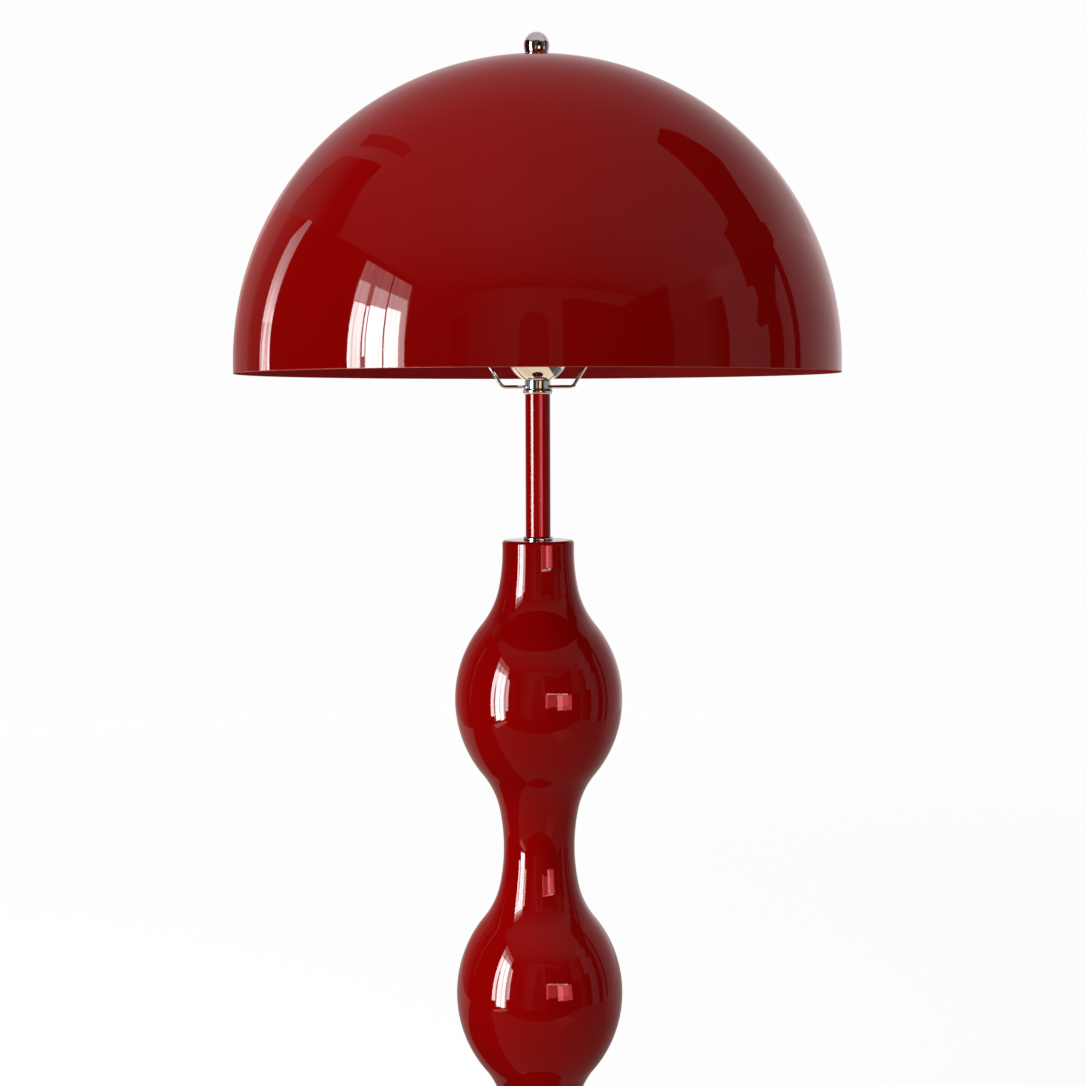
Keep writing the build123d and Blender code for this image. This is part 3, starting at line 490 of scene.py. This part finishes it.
def bubble_arcs(sizes):
    """The centre of the hollow shoulder, out from the axis and up from a bubble's middle, the heights of the
    joins at its two ends, and the radii of the bubble's, the shoulder's and the waist's arcs."""
    half = sizes.bubble_pitch / 2
    swell = (sizes.bubble_diameter - sizes.waist_diameter) / 2
    both = (half ** 2 + swell ** 2) / (2 * swell)
    bubble, shoulder, waist = (
        share * both for share in (sizes.bubble_arc_share, sizes.shoulder_arc_share, sizes.waist_arc_share))
    bubble_x = sizes.bubble_diameter / 2 - bubble
    waist_x = sizes.waist_diameter / 2 + waist
    apart = math.hypot(waist_x - bubble_x, half)
    along = ((bubble + shoulder) ** 2 - (waist - shoulder) ** 2 + apart ** 2) / (2 * apart)
    aside = math.sqrt((bubble + shoulder) ** 2 - along ** 2)
    unit_x, unit_y = (waist_x - bubble_x) / apart, half / apart
    centre = (bubble_x + along * unit_x - aside * unit_y, along * unit_y + aside * unit_x)
    bubble_join = centre[1] / (bubble + shoulder) * bubble
    waist_join = half + (centre[1] - half) / (waist - shoulder) * waist
    return centre, bubble_join, waist_join, (bubble, shoulder, waist)


def column_length(sizes, tree, surface, bottom, height):
    """The mesh of one spun length of the column."""
    centre, bubble_join, waist_join, arcs = bubble_arcs(sizes)
    return run_tree(tree, {
        "Bottom": bottom, "Height": height, "Half Pitch": sizes.bubble_pitch / 2,
        "Bubble Radius": sizes.bubble_diameter / 2, "Bubble Arc": arcs[0], "Shoulder Arc": arcs[1],
        "Shoulder Across": centre[0], "Shoulder Up": centre[1],
        "Waist Radius": sizes.waist_diameter / 2, "Waist Arc": arcs[2],
        "Bubble Join": bubble_join, "Waist Join": waist_join,
        "Around": sizes.around + 1, "Rings": round(sizes.rings * height / sizes.bubble_pitch) + 1,
        "Finish": surface})


def close_top(mesh, sizes, top, bore):
    """Round the tube's top edge over and close it with a flat, down to a bore."""
    shape = bmesh.new()
    shape.from_mesh(mesh)
    highest = max(v.co.z for v in shape.verts)
    rim = sorted((v for v in shape.verts if v.co.z > highest - 0.01 * MM),
                 key=lambda v: math.atan2(v.co.y, v.co.x))
    pattern = rim[0].link_faces[0]
    turns, steps = 8, 6
    flat = Vector(rim[0].co.xy).length - sizes.edge_radius
    ring_sizes = []
    for turn in range(1, turns + 1):
        angle = math.pi / 2 * turn / turns
        ring_sizes.append((flat + sizes.edge_radius * math.cos(angle),
                           top - sizes.edge_radius * (1 - math.sin(angle))))
    for step in range(1, steps + 1):
        ring_sizes.append((flat + (bore - flat) * step / steps, top))
    below = rim
    for radius, z in ring_sizes:
        ring = [shape.verts.new((*(v.co.xy.normalized() * radius), z)) for v in rim]
        for i in range(len(rim)):
            j = (i + 1) % len(rim)
            shape.faces.new((below[i], below[j], ring[j], ring[i]), pattern).smooth = True
        below = ring
    bmesh.ops.recalc_face_normals(shape, faces=shape.faces)
    shape.to_mesh(mesh)
    shape.free()


class LAMP_OT_column(bpy.types.Operator):
    """Spin the two lengths of the bubbled column"""
    bl_idname = "floor_lamp.column"
    bl_label = "Bubbled column"

    def execute(self, context):
        sizes = context.scene.floor_lamp.column
        surface = bpy.data.materials["gloss_lacquer_sprayed"]
        tree = bubbled_column_tree()
        pipe_hole = 5.1 * MM
        for node in ("column_lower", "column_upper"):
            low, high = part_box(node)
            topped = node == "column_upper"
            straight = high.z - low.z - (sizes.edge_radius if topped else 0)
            mesh = column_length(sizes, tree, surface, low.z, straight)
            if topped:
                close_top(mesh, sizes, high.z, pipe_hole)
            piece = link("spun_" + node, mesh)
            wall = piece.modifiers.new("wall", "SOLIDIFY")
            wall.thickness = sizes.wall
            wall.offset = -1.0
            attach(piece, "stand")
            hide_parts(node)
        return {"FINISHED"}


def turned(name, outline, around=96):
    """A mesh turned on a lathe: an outline of (radius, height) from axis to axis, swept round Z."""
    shape = bmesh.new()
    rings = []
    for radius, z in outline:
        if radius == 0:
            rings.append([shape.verts.new((0, 0, z))] * around)
        else:
            turns = [2 * math.pi * i / around for i in range(around)]
            rings.append([shape.verts.new((radius * math.cos(t), radius * math.sin(t), z)) for t in turns])
    for lower, upper in zip(rings, rings[1:]):
        for i in range(around):
            j = (i + 1) % around
            corners = list(dict.fromkeys((lower[i], lower[j], upper[j], upper[i])))
            shape.faces.new(corners).smooth = True
    bmesh.ops.recalc_face_normals(shape, faces=shape.faces)
    mesh = bpy.data.meshes.new(name)
    shape.to_mesh(mesh)
    shape.free()
    crease = math.radians(35)
    mesh.set_sharp_from_angle(angle=crease)
    return mesh


class LAMP_OT_finial(bpy.types.Operator):
    """Turn the ball finial, which tucks in a little over the shade"""
    bl_idname = "floor_lamp.finial"
    bl_label = "Ball finial"

    def execute(self, context):
        sizes = context.scene.floor_lamp.finial
        low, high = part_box("finial")
        ball = sizes.diameter / 2
        middle = high.z - ball
        # The blind bore, its pointed end and the chamfer at its mouth.
        bore, deep, point, chamfer = 3.1 * MM, 12.5 * MM, 0.8 * MM, 0.4 * MM
        outline = [(0, low.z + deep + point), (bore, low.z + deep), (bore, low.z + chamfer),
                   (bore + chamfer, low.z)]
        # Below its middle the ball is drawn out, so it stands on a flat a little narrower than itself.
        drawn_out = ball * sizes.lower_length
        last = math.asin((middle - low.z) / drawn_out)
        foot = ball * math.cos(last)
        edge_across, edge_up = 0.5 * MM, 0.3 * MM
        outline += [(foot - edge_across, low.z), (foot, low.z + edge_up)]
        # The ball's outline starts a little above its foot, which leaves room for that edge.
        lower_steps, upper_steps, room = 14, 20, 0.97
        for step in range(1, lower_steps + 1):
            turn = last * (1 - step / lower_steps) * room
            outline.append((ball * math.cos(turn), middle - drawn_out * math.sin(turn)))
        for step in range(1, upper_steps + 1):
            turn = math.pi / 2 * step / upper_steps
            outline.append((ball * math.cos(turn) if step < upper_steps else 0, middle + ball * math.sin(turn)))
        piece = link("turned_finial", turned("turned_finial", outline))
        piece.data.materials.append(bpy.data.materials["chrome_plate_polished"])
        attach(piece, "finial")
        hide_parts("finial")
        return {"FINISHED"}


class LAMP_OT_lacquered(bpy.types.Operator):
    """Lacquer the shade, stem, column and foot"""
    bl_idname = "floor_lamp.lacquered"
    bl_label = "Lacquered pieces"

    def execute(self, context):
        dress(gloss_lacquer()[0], "stem", "foot_cover", "column_lower", "column_upper")
        dress(shade_lacquer(), "shade")
        return {"FINISHED"}


class LAMP_OT_chromed(bpy.types.Operator):
    """Plate the rings, collar, harp, cup, stud and finial"""
    bl_idname = "floor_lamp.chromed"
    bl_label = "Chromed pieces"

    def execute(self, context):
        dress(polished_chrome(), *CHROMED)
        return {"FINISHED"}


class LAMP_OT_bulb(bpy.types.Operator):
    """Finish the bulb and the lampholder"""
    bl_idname = "floor_lamp.bulb"
    bl_label = "Bulb and lampholder"

    def execute(self, context):
        dress(opal_glass(), "bulb_globe")
        dress(nickel_cap(), "bulb_cap")
        dress(pressed_brass(), "socket_shell", "centre_contact")
        dress(moulded_plastic(), "lampholder_body", "bulb_insulator", "inlet_bushing", "foot_spigot",
              "column_spigot")
        return {"FINISHED"}


class LAMP_OT_foot(bpy.types.Operator):
    """Finish the weight, plate, pads and threaded pipe"""
    bl_idname = "floor_lamp.foot"
    bl_label = "Foot and pipe"

    def execute(self, context):
        dress(sand_cast_iron(), "foot_weight")
        dress(powder_coated_plate(), "bottom_plate")
        dress(pad_rubber(), "foot_pads")
        dress(zinc_thread(), "bottom_plate_screws", "lower_pipe", "upper_pipe", "pipe_nut", "lock_washer",
              "pipe_coupler")
        return {"FINISHED"}


# ------------------------------
# Stage
# ------------------------------
# Where the walls of the room of boards stand, in metres, with the lamp at the origin.
LEFT, RIGHT, FRONT, BACK, TOP = -2.0, 2.5, -2.85, 4.0, 2.45
ROOM = {"left": LEFT, "right": RIGHT, "front": FRONT, "back": BACK, "floor": 0.002, "ceiling": TOP}
# How far a board stands off its wall, so that one covers another: on the walls, then on the floor.
UNDER, BETWEEN, ON, OVER = 0.008, 0.009, 0.01, 0.012
GLOW, GLOW_ON, GLOW_OVER = 0.02, 0.021, 0.022
FLOOR_DARK, FLOOR_LIT, FLOOR_GLOW = 0.002, 0.003, 0.004

# The camera's place, its turn up from straight down and its lean, in degrees, and its lens in millimetres
# on a sensor 36 mm wide.
CAMERA, TILT, LEAN, LENS = (0.0048, -1.861, 1.128), 85.906, -0.18, 61.55


def shines(name, hex_colour, stops, axis="X", streaks=0.0, fade=None, through=False):
    """A studio board's glow. stops is one strength, or strengths at places along an axis. streaks is how
    much upright folds take from it. fade is a second axis, the two places on it between which the glow
    changes, and its share at each. A board that is seen through only adds its glow to what is behind it."""
    material, tree = new_material(name)
    glow = add_node(tree, "ShaderNodeEmission", feeds={"Color": linear(hex_colour)})
    shown = glow
    if through:
        clear = add_node(tree, "ShaderNodeBsdfTransparent")
        shown = add_node(tree, "ShaderNodeAddShader", feeds={0: glow, 1: clear})
    add_node(tree, "ShaderNodeOutputMaterial", feeds={"Surface": shown})
    place = add_node(tree, "ShaderNodeTexCoord").outputs["Object"]
    part = add_node(tree, "ShaderNodeSeparateXYZ", feeds={0: place}).outputs
    if isinstance(stops, (int, float)):
        stops = ((0.0, stops), (1.0, stops))
    # The strength at the first stop, and a ramp to add for each span after it.
    strength = stops[0][1]
    for (start, before), (end, after) in zip(stops, stops[1:]):
        ramp = add_node(tree, "ShaderNodeMapRange", feeds={
            "Value": part[axis], "From Min": start, "From Max": end, "To Min": 0.0, "To Max": after - before})
        strength = add_node(tree, "ShaderNodeMath", {"operation": "ADD"}, {0: strength, 1: ramp})
    shares = []
    if fade:
        across, start, end, before, after = fade
        shares.append(add_node(tree, "ShaderNodeMapRange", feeds={
            "Value": part[across], "From Min": start, "From Max": end, "To Min": before, "To Max": after}))
    if streaks:
        # Net curtains hang in folds about 60 mm apart, and a fold is many times longer than it is wide.
        squeezed = add_node(tree, "ShaderNodeMapping", feeds={"Vector": place, "Scale": (1.0, 1.0, 0.06)})
        folds = add_node(tree, "ShaderNodeTexNoise", feeds={
            "Vector": squeezed, "Scale": 1 / (60 * MM), "Detail": 1.0})
        shares.append(add_node(tree, "ShaderNodeMapRange", feeds={
            "Value": folds, "From Min": 0.35, "From Max": 0.6, "To Min": 1.0 - streaks, "To Max": 1.0}))
    for share in shares:
        strength = add_node(tree, "ShaderNodeMath", {"operation": "MULTIPLY"}, {0: strength, 1: share})
    feed(tree, glow, {"Strength": strength})
    material.cycles.emission_sampling = "NONE"
    return material


def board(name, wall, shape, surface, lift=0.0, seen_by=None):
    """A studio board that only polished surfaces see, on one wall of the room round the lamp.
    shape is two ranges, or a list of corners, along the wall's own two directions. surface is a material, or
    what shines needs to make one. seen_by is the only group that sees the board, which is then seen through."""
    if isinstance(surface, tuple):
        surface = shines(name, *surface, through=seen_by is not None)
    depth = ROOM[wall] + (lift if wall in ("left", "front", "floor") else -lift)
    fixed = {"left": 0, "right": 0, "front": 1, "back": 1, "floor": 2, "ceiling": 2}[wall]
    if len(shape) == 2:
        (a0, a1), (b0, b1) = shape
        shape = [(a0, b0), (a1, b0), (a1, b1), (a0, b1)]
    mesh = bpy.data.meshes.new(name)
    corners = [(*corner[:fixed], depth, *corner[fixed:]) for corner in shape]
    mesh.from_pydata(corners, [], [tuple(range(len(shape)))])
    mesh.materials.append(surface)
    piece = link(name, mesh)
    piece.visible_camera = piece.visible_diffuse = piece.visible_shadow = piece.visible_transmission = False
    if seen_by:
        piece.light_linking.receiver_collection = seen_by


def group_of(name, pieces):
    """A collection that says which pieces a lamp or board acts on."""
    group = bpy.data.collections.new(name)
    for piece in pieces:
        group.objects.link(piece)
    return group


def room_of_boards(for_shade, for_column, for_chrome, for_collar, for_finial):
    """The dim room with a tall window at its left that the lacquer and the chrome mirror."""
    black = shines("board_black", "#ffffff", 0.012)
    dusk = shines("board_dusk", "#ffffff", 0.05)
    along_side, along_end, tall = (FRONT, BACK), (LEFT, RIGHT), (0, TOP)

    # Walls, ceiling and floor.
    board("wall_left", "left", (along_side, tall), ("#ffaca6", (
        (-2.0, 0.06), (-0.6, 0.015), (0.9, 0.03), (1.05, 0.14), (1.5, 0.16), (1.8, 0.37), (BACK, 0.55)), "Y"))
    board("wall_front", "front", (along_end, tall), (
        "#ffffff", ((LEFT, 0.02), (-1.2, 0.05), (-0.4, 0.13), (0.5, 0.1)), "X"))
    board("wall_back", "back", (along_end, tall), (
        "#ffe8ea", ((LEFT, 0.66), (0.0, 0.7), (0.6, 0.8), (RIGHT, 0.86)), "X"))
    board("wall_right", "right", (along_side, tall), ("#ffe2e2", (
        (-2.2, 0.11), (-1.3, 0.13), (-0.9, 0.31), (0.3, 0.2), (0.8, 0.3), (BACK, 0.8)), "Y", 0.0,
        ("Z", 1.7, TOP, 1.0, 1.1)))
    board("ceiling", "ceiling", (along_end, along_side), ("#ffe6e6", (
        (FRONT, 0.04), (-2.2, 0.13), (-1.0, 0.24), (0.1, 0.21), (0.7, 0.27), (1.8, 0.55), (BACK, 0.7)), "Y",
        0.0, ("X", LEFT, -0.3, 0.5, 1.0)))
    near = -1.45
    board("floor_far", "floor", (along_end, (near, BACK)), (
        "#fff4ea", ((near, 0.12), (0.2, 0.14), (1.2, 0.35), (BACK, 0.5)), "Y"))
    board("floor_near", "floor", (along_end, (FRONT, near)), black)
    board("back_left", "back", ((LEFT, -0.42), tall), (
        "#ffccc8", 0.52, "X", 0.0, ("Z", 1.4, 2.0, 1.0, 1.5)), UNDER)

    # The column's flat top mirrors this at a low angle.
    board("back_pale", "back", ((-0.45, 0.45), (1.05, 1.5)), ("#fff4f2", 1.05), ON)

    # Dark things along the walls.
    board("front_dark", "front", [
        (0.45, 0), (RIGHT, 0), (RIGHT, TOP), (2.1, TOP), (1.64, 2.16), (1.12, 2.2), (0.74, 2.24),
        (0.43, 2.2)], black, ON)
    board("front_door", "front", ((-1.60, -1.25), (0, 1.98)), black, ON)
    board("front_bar", "front", [
        (-0.48, 0), (0.44, 0), (0.4, 1.05), (0.2, 1.2), (0.18, 1.8), (0.08, 1.97), (-0.2, 1.97), (-0.3, 1.8),
        (-0.32, 1.2), (-0.46, 1.05)], ("#ffffff", 0.04), ON)
    board("corner_dark", "right", ((FRONT, -2.27), tall), black, ON)
    board("corner_dark_top", "ceiling", [
        (2.15, FRONT), (RIGHT, FRONT), (RIGHT, -2.2), (2.17, -1.98)], black, ON)
    board("low_dark", "right", ((-2.27, -0.64), (0, 1.15)), black, ON)
    board("right_strip", "right", ((-1.55, -0.94), (0, 2.05)), (
        "#ffe6e4", ((-1.5, 0.12), (-1.0, 0.02)), "Y"), ON)
    board("right_beam", "right", [
        (-0.31, TOP), (-0.35, 2.06), (-0.19, 2.05), (-0.19, 1.88), (-0.33, 1.64), (-0.27, 1.56), (-0.08, 1.59),
        (-0.08, 0), (0.26, 0), (0.27, 1.52), (0.24, 1.84), (0.38, 2.06), (0.6, 2.24), (0.6, TOP)], black, ON)
    board("right_line", "right", [
        (0.57, 0), (0.74, 0), (0.75, 1.71), (0.76, 2.28), (0.78, TOP), (0.6, TOP), (0.57, 2.21)], black, OVER)
    board("ceiling_beam_right", "ceiling", [
        (0.66, 0.24), (0.69, 0.03), (1.12, -0.02), (1.46, -0.04), (1.72, -0.07), (1.84, -0.28), (RIGHT, -0.31),
        (RIGHT, 0.8), (2.39, 0.86), (2.03, 0.73), (1.98, 0.62), (1.44, 0.50), (1.11, 0.55), (0.93, 0.45),
        (0.77, 0.36)], black, ON)
    board("ceiling_beam_left", "ceiling", [
        (LEFT, -0.09), (-1.78, -0.08), (-1.45, 0.0), (-1.17, 0.05), (-0.99, 0.06), (-1.02, 0.23),
        (-1.09, 0.49), (-1.16, 0.87), (-1.44, 1.25), (-1.80, 1.66), (LEFT, 1.80)], (
            "#ffe6e4", ((0.35, 0.012), (0.75, 0.1), (1.6, 0.16)), "Y"), ON)
    board("ceiling_ring", "ceiling", [
        (-0.91, 0.73), (-0.82, 0.39), (-0.76, 0.14), (-0.74, -0.03), (-0.83, -0.04), (-0.88, 0.19),
        (-0.95, 0.43), (-1.03, 0.70)], dusk, ON)
    board("floor_wedge", "floor", [
        (LEFT, -0.75), (-0.95, -0.43), (-0.29, -0.12), (0, 0), (-0.65, 0.56), (LEFT, 0.65)], black, FLOOR_DARK)

    # The tall window at the left: three panes, dimmer above, and its shine on the floor.
    bright = shines("window_bright", "#ffffff", 27.0, streaks=0.25)
    middle = shines("window_middle", "#ffeceb", 7.5, streaks=0.2)
    dim = shines("window_dim", "#ffdad8", 2.4, streaks=0.3)
    board("pane_1", "left", ((-1.06, -0.84), (0.29, 1.84)), ("#fffafa", 22.0, "X", 0.4), ON)
    board("pane_1_edge", "left", ((-1.13, -1.09), (1.3, 1.83)), bright, ON)
    board("pane_2", "left", ((-1.46, -1.15), (0.1, 1.85)), bright, ON)
    board("pane_3", "left", ((-1.80, -1.49), (0.05, 1.89)), bright, ON)
    board("pane_3_edge", "left", ((-1.95, -1.80), (0.05, 2.0)), middle, ON)
    board("panes_middle", "left", ((-1.93, -0.83), (1.85, 2.10)), middle, UNDER)
    board("panes_dim", "left", ((-1.95, -0.83), (2.10, 2.36)), dim, UNDER)
    board("mullion_1", "left", ((-1.15, -1.06), (0.1, 2.1)), dim, BETWEEN)
    board("mullion_2", "left", ((-1.49, -1.46), (0, 2.36)), black, OVER)
    board("window_on_floor", "floor", ((-1.98, -1.65), (-1.8, -0.9)), ("#ffb4ae", 2.4), FLOOR_LIT)
    board("pane_4", "left", ((-2.25, -1.96), (0.4, 1.85)), ("#fff3f4", 12.0, "X", 0.4), GLOW, for_column)

    # A second window, further back: the shade mirrors its curtain, the column only a slit of it.
    board("curtain", "left", [(0.66, 0.3), (0.98, 0.3), (0.98, 2.2), (0.80, 2.44), (0.66, 2.44)], (
        "#ffe9ea", ((0.3, 8.0), (1.2, 9.0), (1.6, 6.0), (1.9, 3.0), (2.44, 1.2)), "Z", 0.4), GLOW, for_shade)
    board("curtain_near", "left", ((0.66, 0.72), (0.3, 1.6)), (
        "#fff8f8", ((1.0, 6.0), (1.6, 2.0)), "Z"), GLOW_OVER, for_shade)
    board("curtain_column", "left", ((0.50, 0.57), (0.6, 2.0)), ("#ffe0dc", 0.5), GLOW, for_column)

    # A small window at the front right, below what the shade can see; it glows red on the lacquer.
    rose = ("#ff6a76", 5.5)
    board("small_post", "front", ((0.47, 0.60), (0.55, 1.27)), ("#ff6068", 9.0), GLOW, for_column)
    board("small_bar", "front", ((0.60, 2.40), (1.22, 1.28)), ("#ffd8d6", 12.0), GLOW, for_column)
    board("small_pane_1", "front", ((1.33, 1.80), (0.40, 1.20)), ("#ff8a92", 10.0), GLOW, for_column)
    board("small_pane_2", "front", ((1.80, 2.49), (0.34, 1.20)), rose, GLOW, for_column)
    board("small_side", "right", ((-2.83, -2.46), (0.33, 1.20)), rose, GLOW, for_column)
    board("small_upper", "front", ((0.60, 2.40), (0.6, 1.20)), ("#ff6a70", 3.0), GLOW_OVER, for_column)
    board("small_on_floor", "floor", ((0.5, 1.1), (-1.43, -0.9)), ("#ff9a98", 0.5), FLOOR_LIT)

    # The chrome mirrors the same window as warm, with a paler ceiling and a cream floor.
    side = ("#dce8ee", 0.45)
    board("chrome_ceiling", "ceiling", ((-1.6, 2.0), (-1.6, BACK)), ("#fff6f6", 0.6), GLOW, for_chrome)
    board("chrome_window", "front", ((0.7, 1.9), (0.55, 1.30)), ("#ffb066", 2.6), GLOW, for_chrome)
    board("chrome_window_core", "front", ((1.0, 1.5), (0.8, 1.15)), ("#ffe8c0", 6.0), GLOW_ON, for_chrome)
    board("chrome_pale", "front", ((-0.55, -0.1), (0.7, 1.3)), ("#ecfff2", 0.7), GLOW, for_chrome)
    board("chrome_left", "left", (along_side, (0, 1.5)), side, GLOW, for_collar)
    board("chrome_right", "right", ((-1.6, BACK), (0, 1.5)), side, GLOW, for_collar)
    board("finial_pane", "right", ((-0.85, -0.55), (1.05, 1.45)), ("#f4f8ff", 1.6), GLOW, for_finial)
    board("chrome_floor", "floor", ((LEFT, 0.85), (-1.4, 3.9)), ("#ffe3bd", 1.25), FLOOR_GLOW, for_collar)
    board("chrome_floor_far", "floor", ((1.8, RIGHT), (-1.0, 3.9)), ("#ffffff", 0.8), FLOOR_GLOW, for_collar)


def seen_rays(tree):
    """1 where the camera, a polished surface or glass looks, and 0 for the light that falls on things."""
    path = add_node(tree, "ShaderNodeLightPath").outputs
    either = add_node(tree, "ShaderNodeMath", {"operation": "MAXIMUM"}, {
        0: path["Is Camera Ray"], 1: path["Is Glossy Ray"]})
    return add_node(tree, "ShaderNodeMath", {"operation": "MAXIMUM"}, {
        0: either, 1: path["Is Transmission Ray"]})


def pale_floor():
    """The floor: matt and pale, and white to the camera but for the lamp's shadow."""
    side = 30.0
    mesh = bpy.data.meshes.new("floor")
    corners = [(-side, -side, 0), (side, -side, 0), (side, side, 0), (-side, side, 0)]
    mesh.from_pydata(corners, [], [(0, 1, 2, 3)])
    material, tree = new_material("floor_pale")
    matt = add_node(tree, "ShaderNodeBsdfDiffuse", feeds={"Color": linear("#d2d2d2")})
    # The lamps fade with distance, so what is added to reach white grows a little.
    place = add_node(tree, "ShaderNodeTexCoord").outputs["Object"]
    away = add_node(tree, "ShaderNodeVectorMath", {"operation": "LENGTH"}, {0: place})
    added = add_node(tree, "ShaderNodeMapRange", feeds={
        "Value": away.outputs["Value"], "From Min": 0.5, "From Max": 5.0, "To Min": 0.57, "To Max": 0.668})
    lift = add_node(tree, "ShaderNodeEmission", feeds={"Color": linear("#ffffff"), "Strength": added})
    dark = add_node(tree, "ShaderNodeEmission", feeds={"Strength": 0.0})
    seen = add_node(tree, "ShaderNodeMixShader", feeds={0: seen_rays(tree), 1: dark, 2: lift})
    both = add_node(tree, "ShaderNodeAddShader", feeds={0: matt, 1: seen})
    add_node(tree, "ShaderNodeOutputMaterial", feeds={"Surface": both})
    material.cycles.emission_sampling = "NONE"
    mesh.materials.append(material)
    link("floor", mesh)


def white_air(strength):
    """The world: an even grey light, and white wherever it is looked at."""
    world = bpy.data.worlds.new("air")
    bpy.context.scene.world = world
    world.use_nodes = True
    tree = world.node_tree
    tree.nodes.clear()
    light = add_node(tree, "ShaderNodeBackground", feeds={"Color": linear("#ffffff"), "Strength": strength})
    white = add_node(tree, "ShaderNodeBackground", feeds={"Color": linear("#fdfdfd"), "Strength": 1.0})
    either = add_node(tree, "ShaderNodeMixShader", feeds={0: seen_rays(tree), 1: light, 2: white})
    add_node(tree, "ShaderNodeOutputWorld", feeds={"Surface": either})


def area_lamp(name, place, target, size, watts, lights=None):
    """A soft, square lamp that lights the object, or only one group of its pieces, but isn't mirrored in it."""
    data = bpy.data.lights.new(name, "AREA")
    data.shape = "RECTANGLE"
    data.size = data.size_y = size
    data.energy = watts
    lamp = bpy.data.objects.new(name, data)
    lamp.location = place
    lamp.rotation_euler = (Vector(target) - Vector(place)).to_track_quat("-Z", "Y").to_euler()
    lamp.visible_glossy = False
    if lights:
        lamp.light_linking.receiver_collection = lights
    bpy.context.scene.collection.objects.link(lamp)


class LAMP_OT_stage(bpy.types.Operator):
    """Set up the floor, boards, lamps and camera"""
    bl_idname = "floor_lamp.stage"
    bl_label = "Studio"

    def execute(self, context):
        light = context.scene.floor_lamp.light
        pale_floor()
        white_air(light.air)
        shade, stem = [NODES["shade"]], [NODES["stem"]]
        spun = [bpy.data.objects["spun_" + name] for name in ("column_lower", "column_upper")]
        finial = [bpy.data.objects["turned_finial"]]
        plated = [NODES[name] for name in CHROMED]
        column = group_of("column_group", stem + [NODES["foot_cover"]] + spun)
        area_lamp("key", (-1.8, -2.0, 1.9), (0, 0, 1.0), 1.2, light.key)
        area_lamp("top", (-1.8, -0.6, 3.0), (0, 0, 1.2), 1.6, light.top)
        area_lamp("low", (-1.8, -2.0, 0.6), (0, 0, 0.8), 1.2, light.low, column)
        area_lamp("slim", (-1.0, -2.3, 1.0), (0, 0, 1.07), 0.8, light.slim, group_of("stem_group", stem))
        room_of_boards(group_of("shade_group", shade), column, group_of("chrome_group", plated + finial),
                       group_of("collar_group", plated), group_of("finial_group", finial))

        lens = bpy.data.cameras.new("camera")
        lens.sensor_width = 36.0
        lens.lens = LENS
        camera = bpy.data.objects.new("camera", lens)
        camera.location = CAMERA
        # The photograph leans a little, which turns the camera about its own line of sight.
        tilt, lean = Euler((math.radians(TILT), 0, 0)), Euler((0, 0, math.radians(LEAN)))
        camera.rotation_euler = (tilt.to_matrix() @ lean.to_matrix()).to_euler()
        context.scene.collection.objects.link(camera)
        context.scene.camera = camera
        context.scene.view_settings.view_transform = "Standard"
        return {"FINISHED"}


class LAMP_PT_panel(bpy.types.Panel):
    """Lists the lamp's pieces, sizes and colours"""
    bl_idname = "LAMP_PT_panel"
    bl_label = "Floor lamp"
    bl_space_type = "VIEW_3D"
    bl_region_type = "UI"
    bl_category = "Floor lamp"

    def draw(self, context):
        lamp = context.scene.floor_lamp
        for group in (lamp.column, lamp.finial, lamp.finish, lamp.light):
            box = self.layout.box()
            for name in group.__annotations__:
                box.prop(group, name)
        for operator in OPERATORS:
            self.layout.operator(operator.bl_idname)


OPERATORS = (LAMP_OT_lacquered, LAMP_OT_column, LAMP_OT_chromed, LAMP_OT_finial, LAMP_OT_bulb, LAMP_OT_foot,
             LAMP_OT_stage)
CLASSES = (ColumnSizes, FinialSizes, LampFinish, StudioLight, FloorLamp, *OPERATORS, LAMP_PT_panel)


def register():
    for cls in CLASSES:
        bpy.utils.register_class(cls)
    bpy.types.Scene.floor_lamp = bpy.props.PointerProperty(type=FloorLamp)


def unregister():
    del bpy.types.Scene.floor_lamp
    for cls in reversed(CLASSES):
        bpy.utils.unregister_class(cls)


def main():
    """Register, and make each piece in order."""
    register()
    bpy.ops.floor_lamp.lacquered()
    bpy.ops.floor_lamp.column()
    bpy.ops.floor_lamp.chromed()
    bpy.ops.floor_lamp.finial()
    bpy.ops.floor_lamp.bulb()
    bpy.ops.floor_lamp.foot()
    bpy.ops.floor_lamp.stage()


if __name__ == "__main__":
    main()
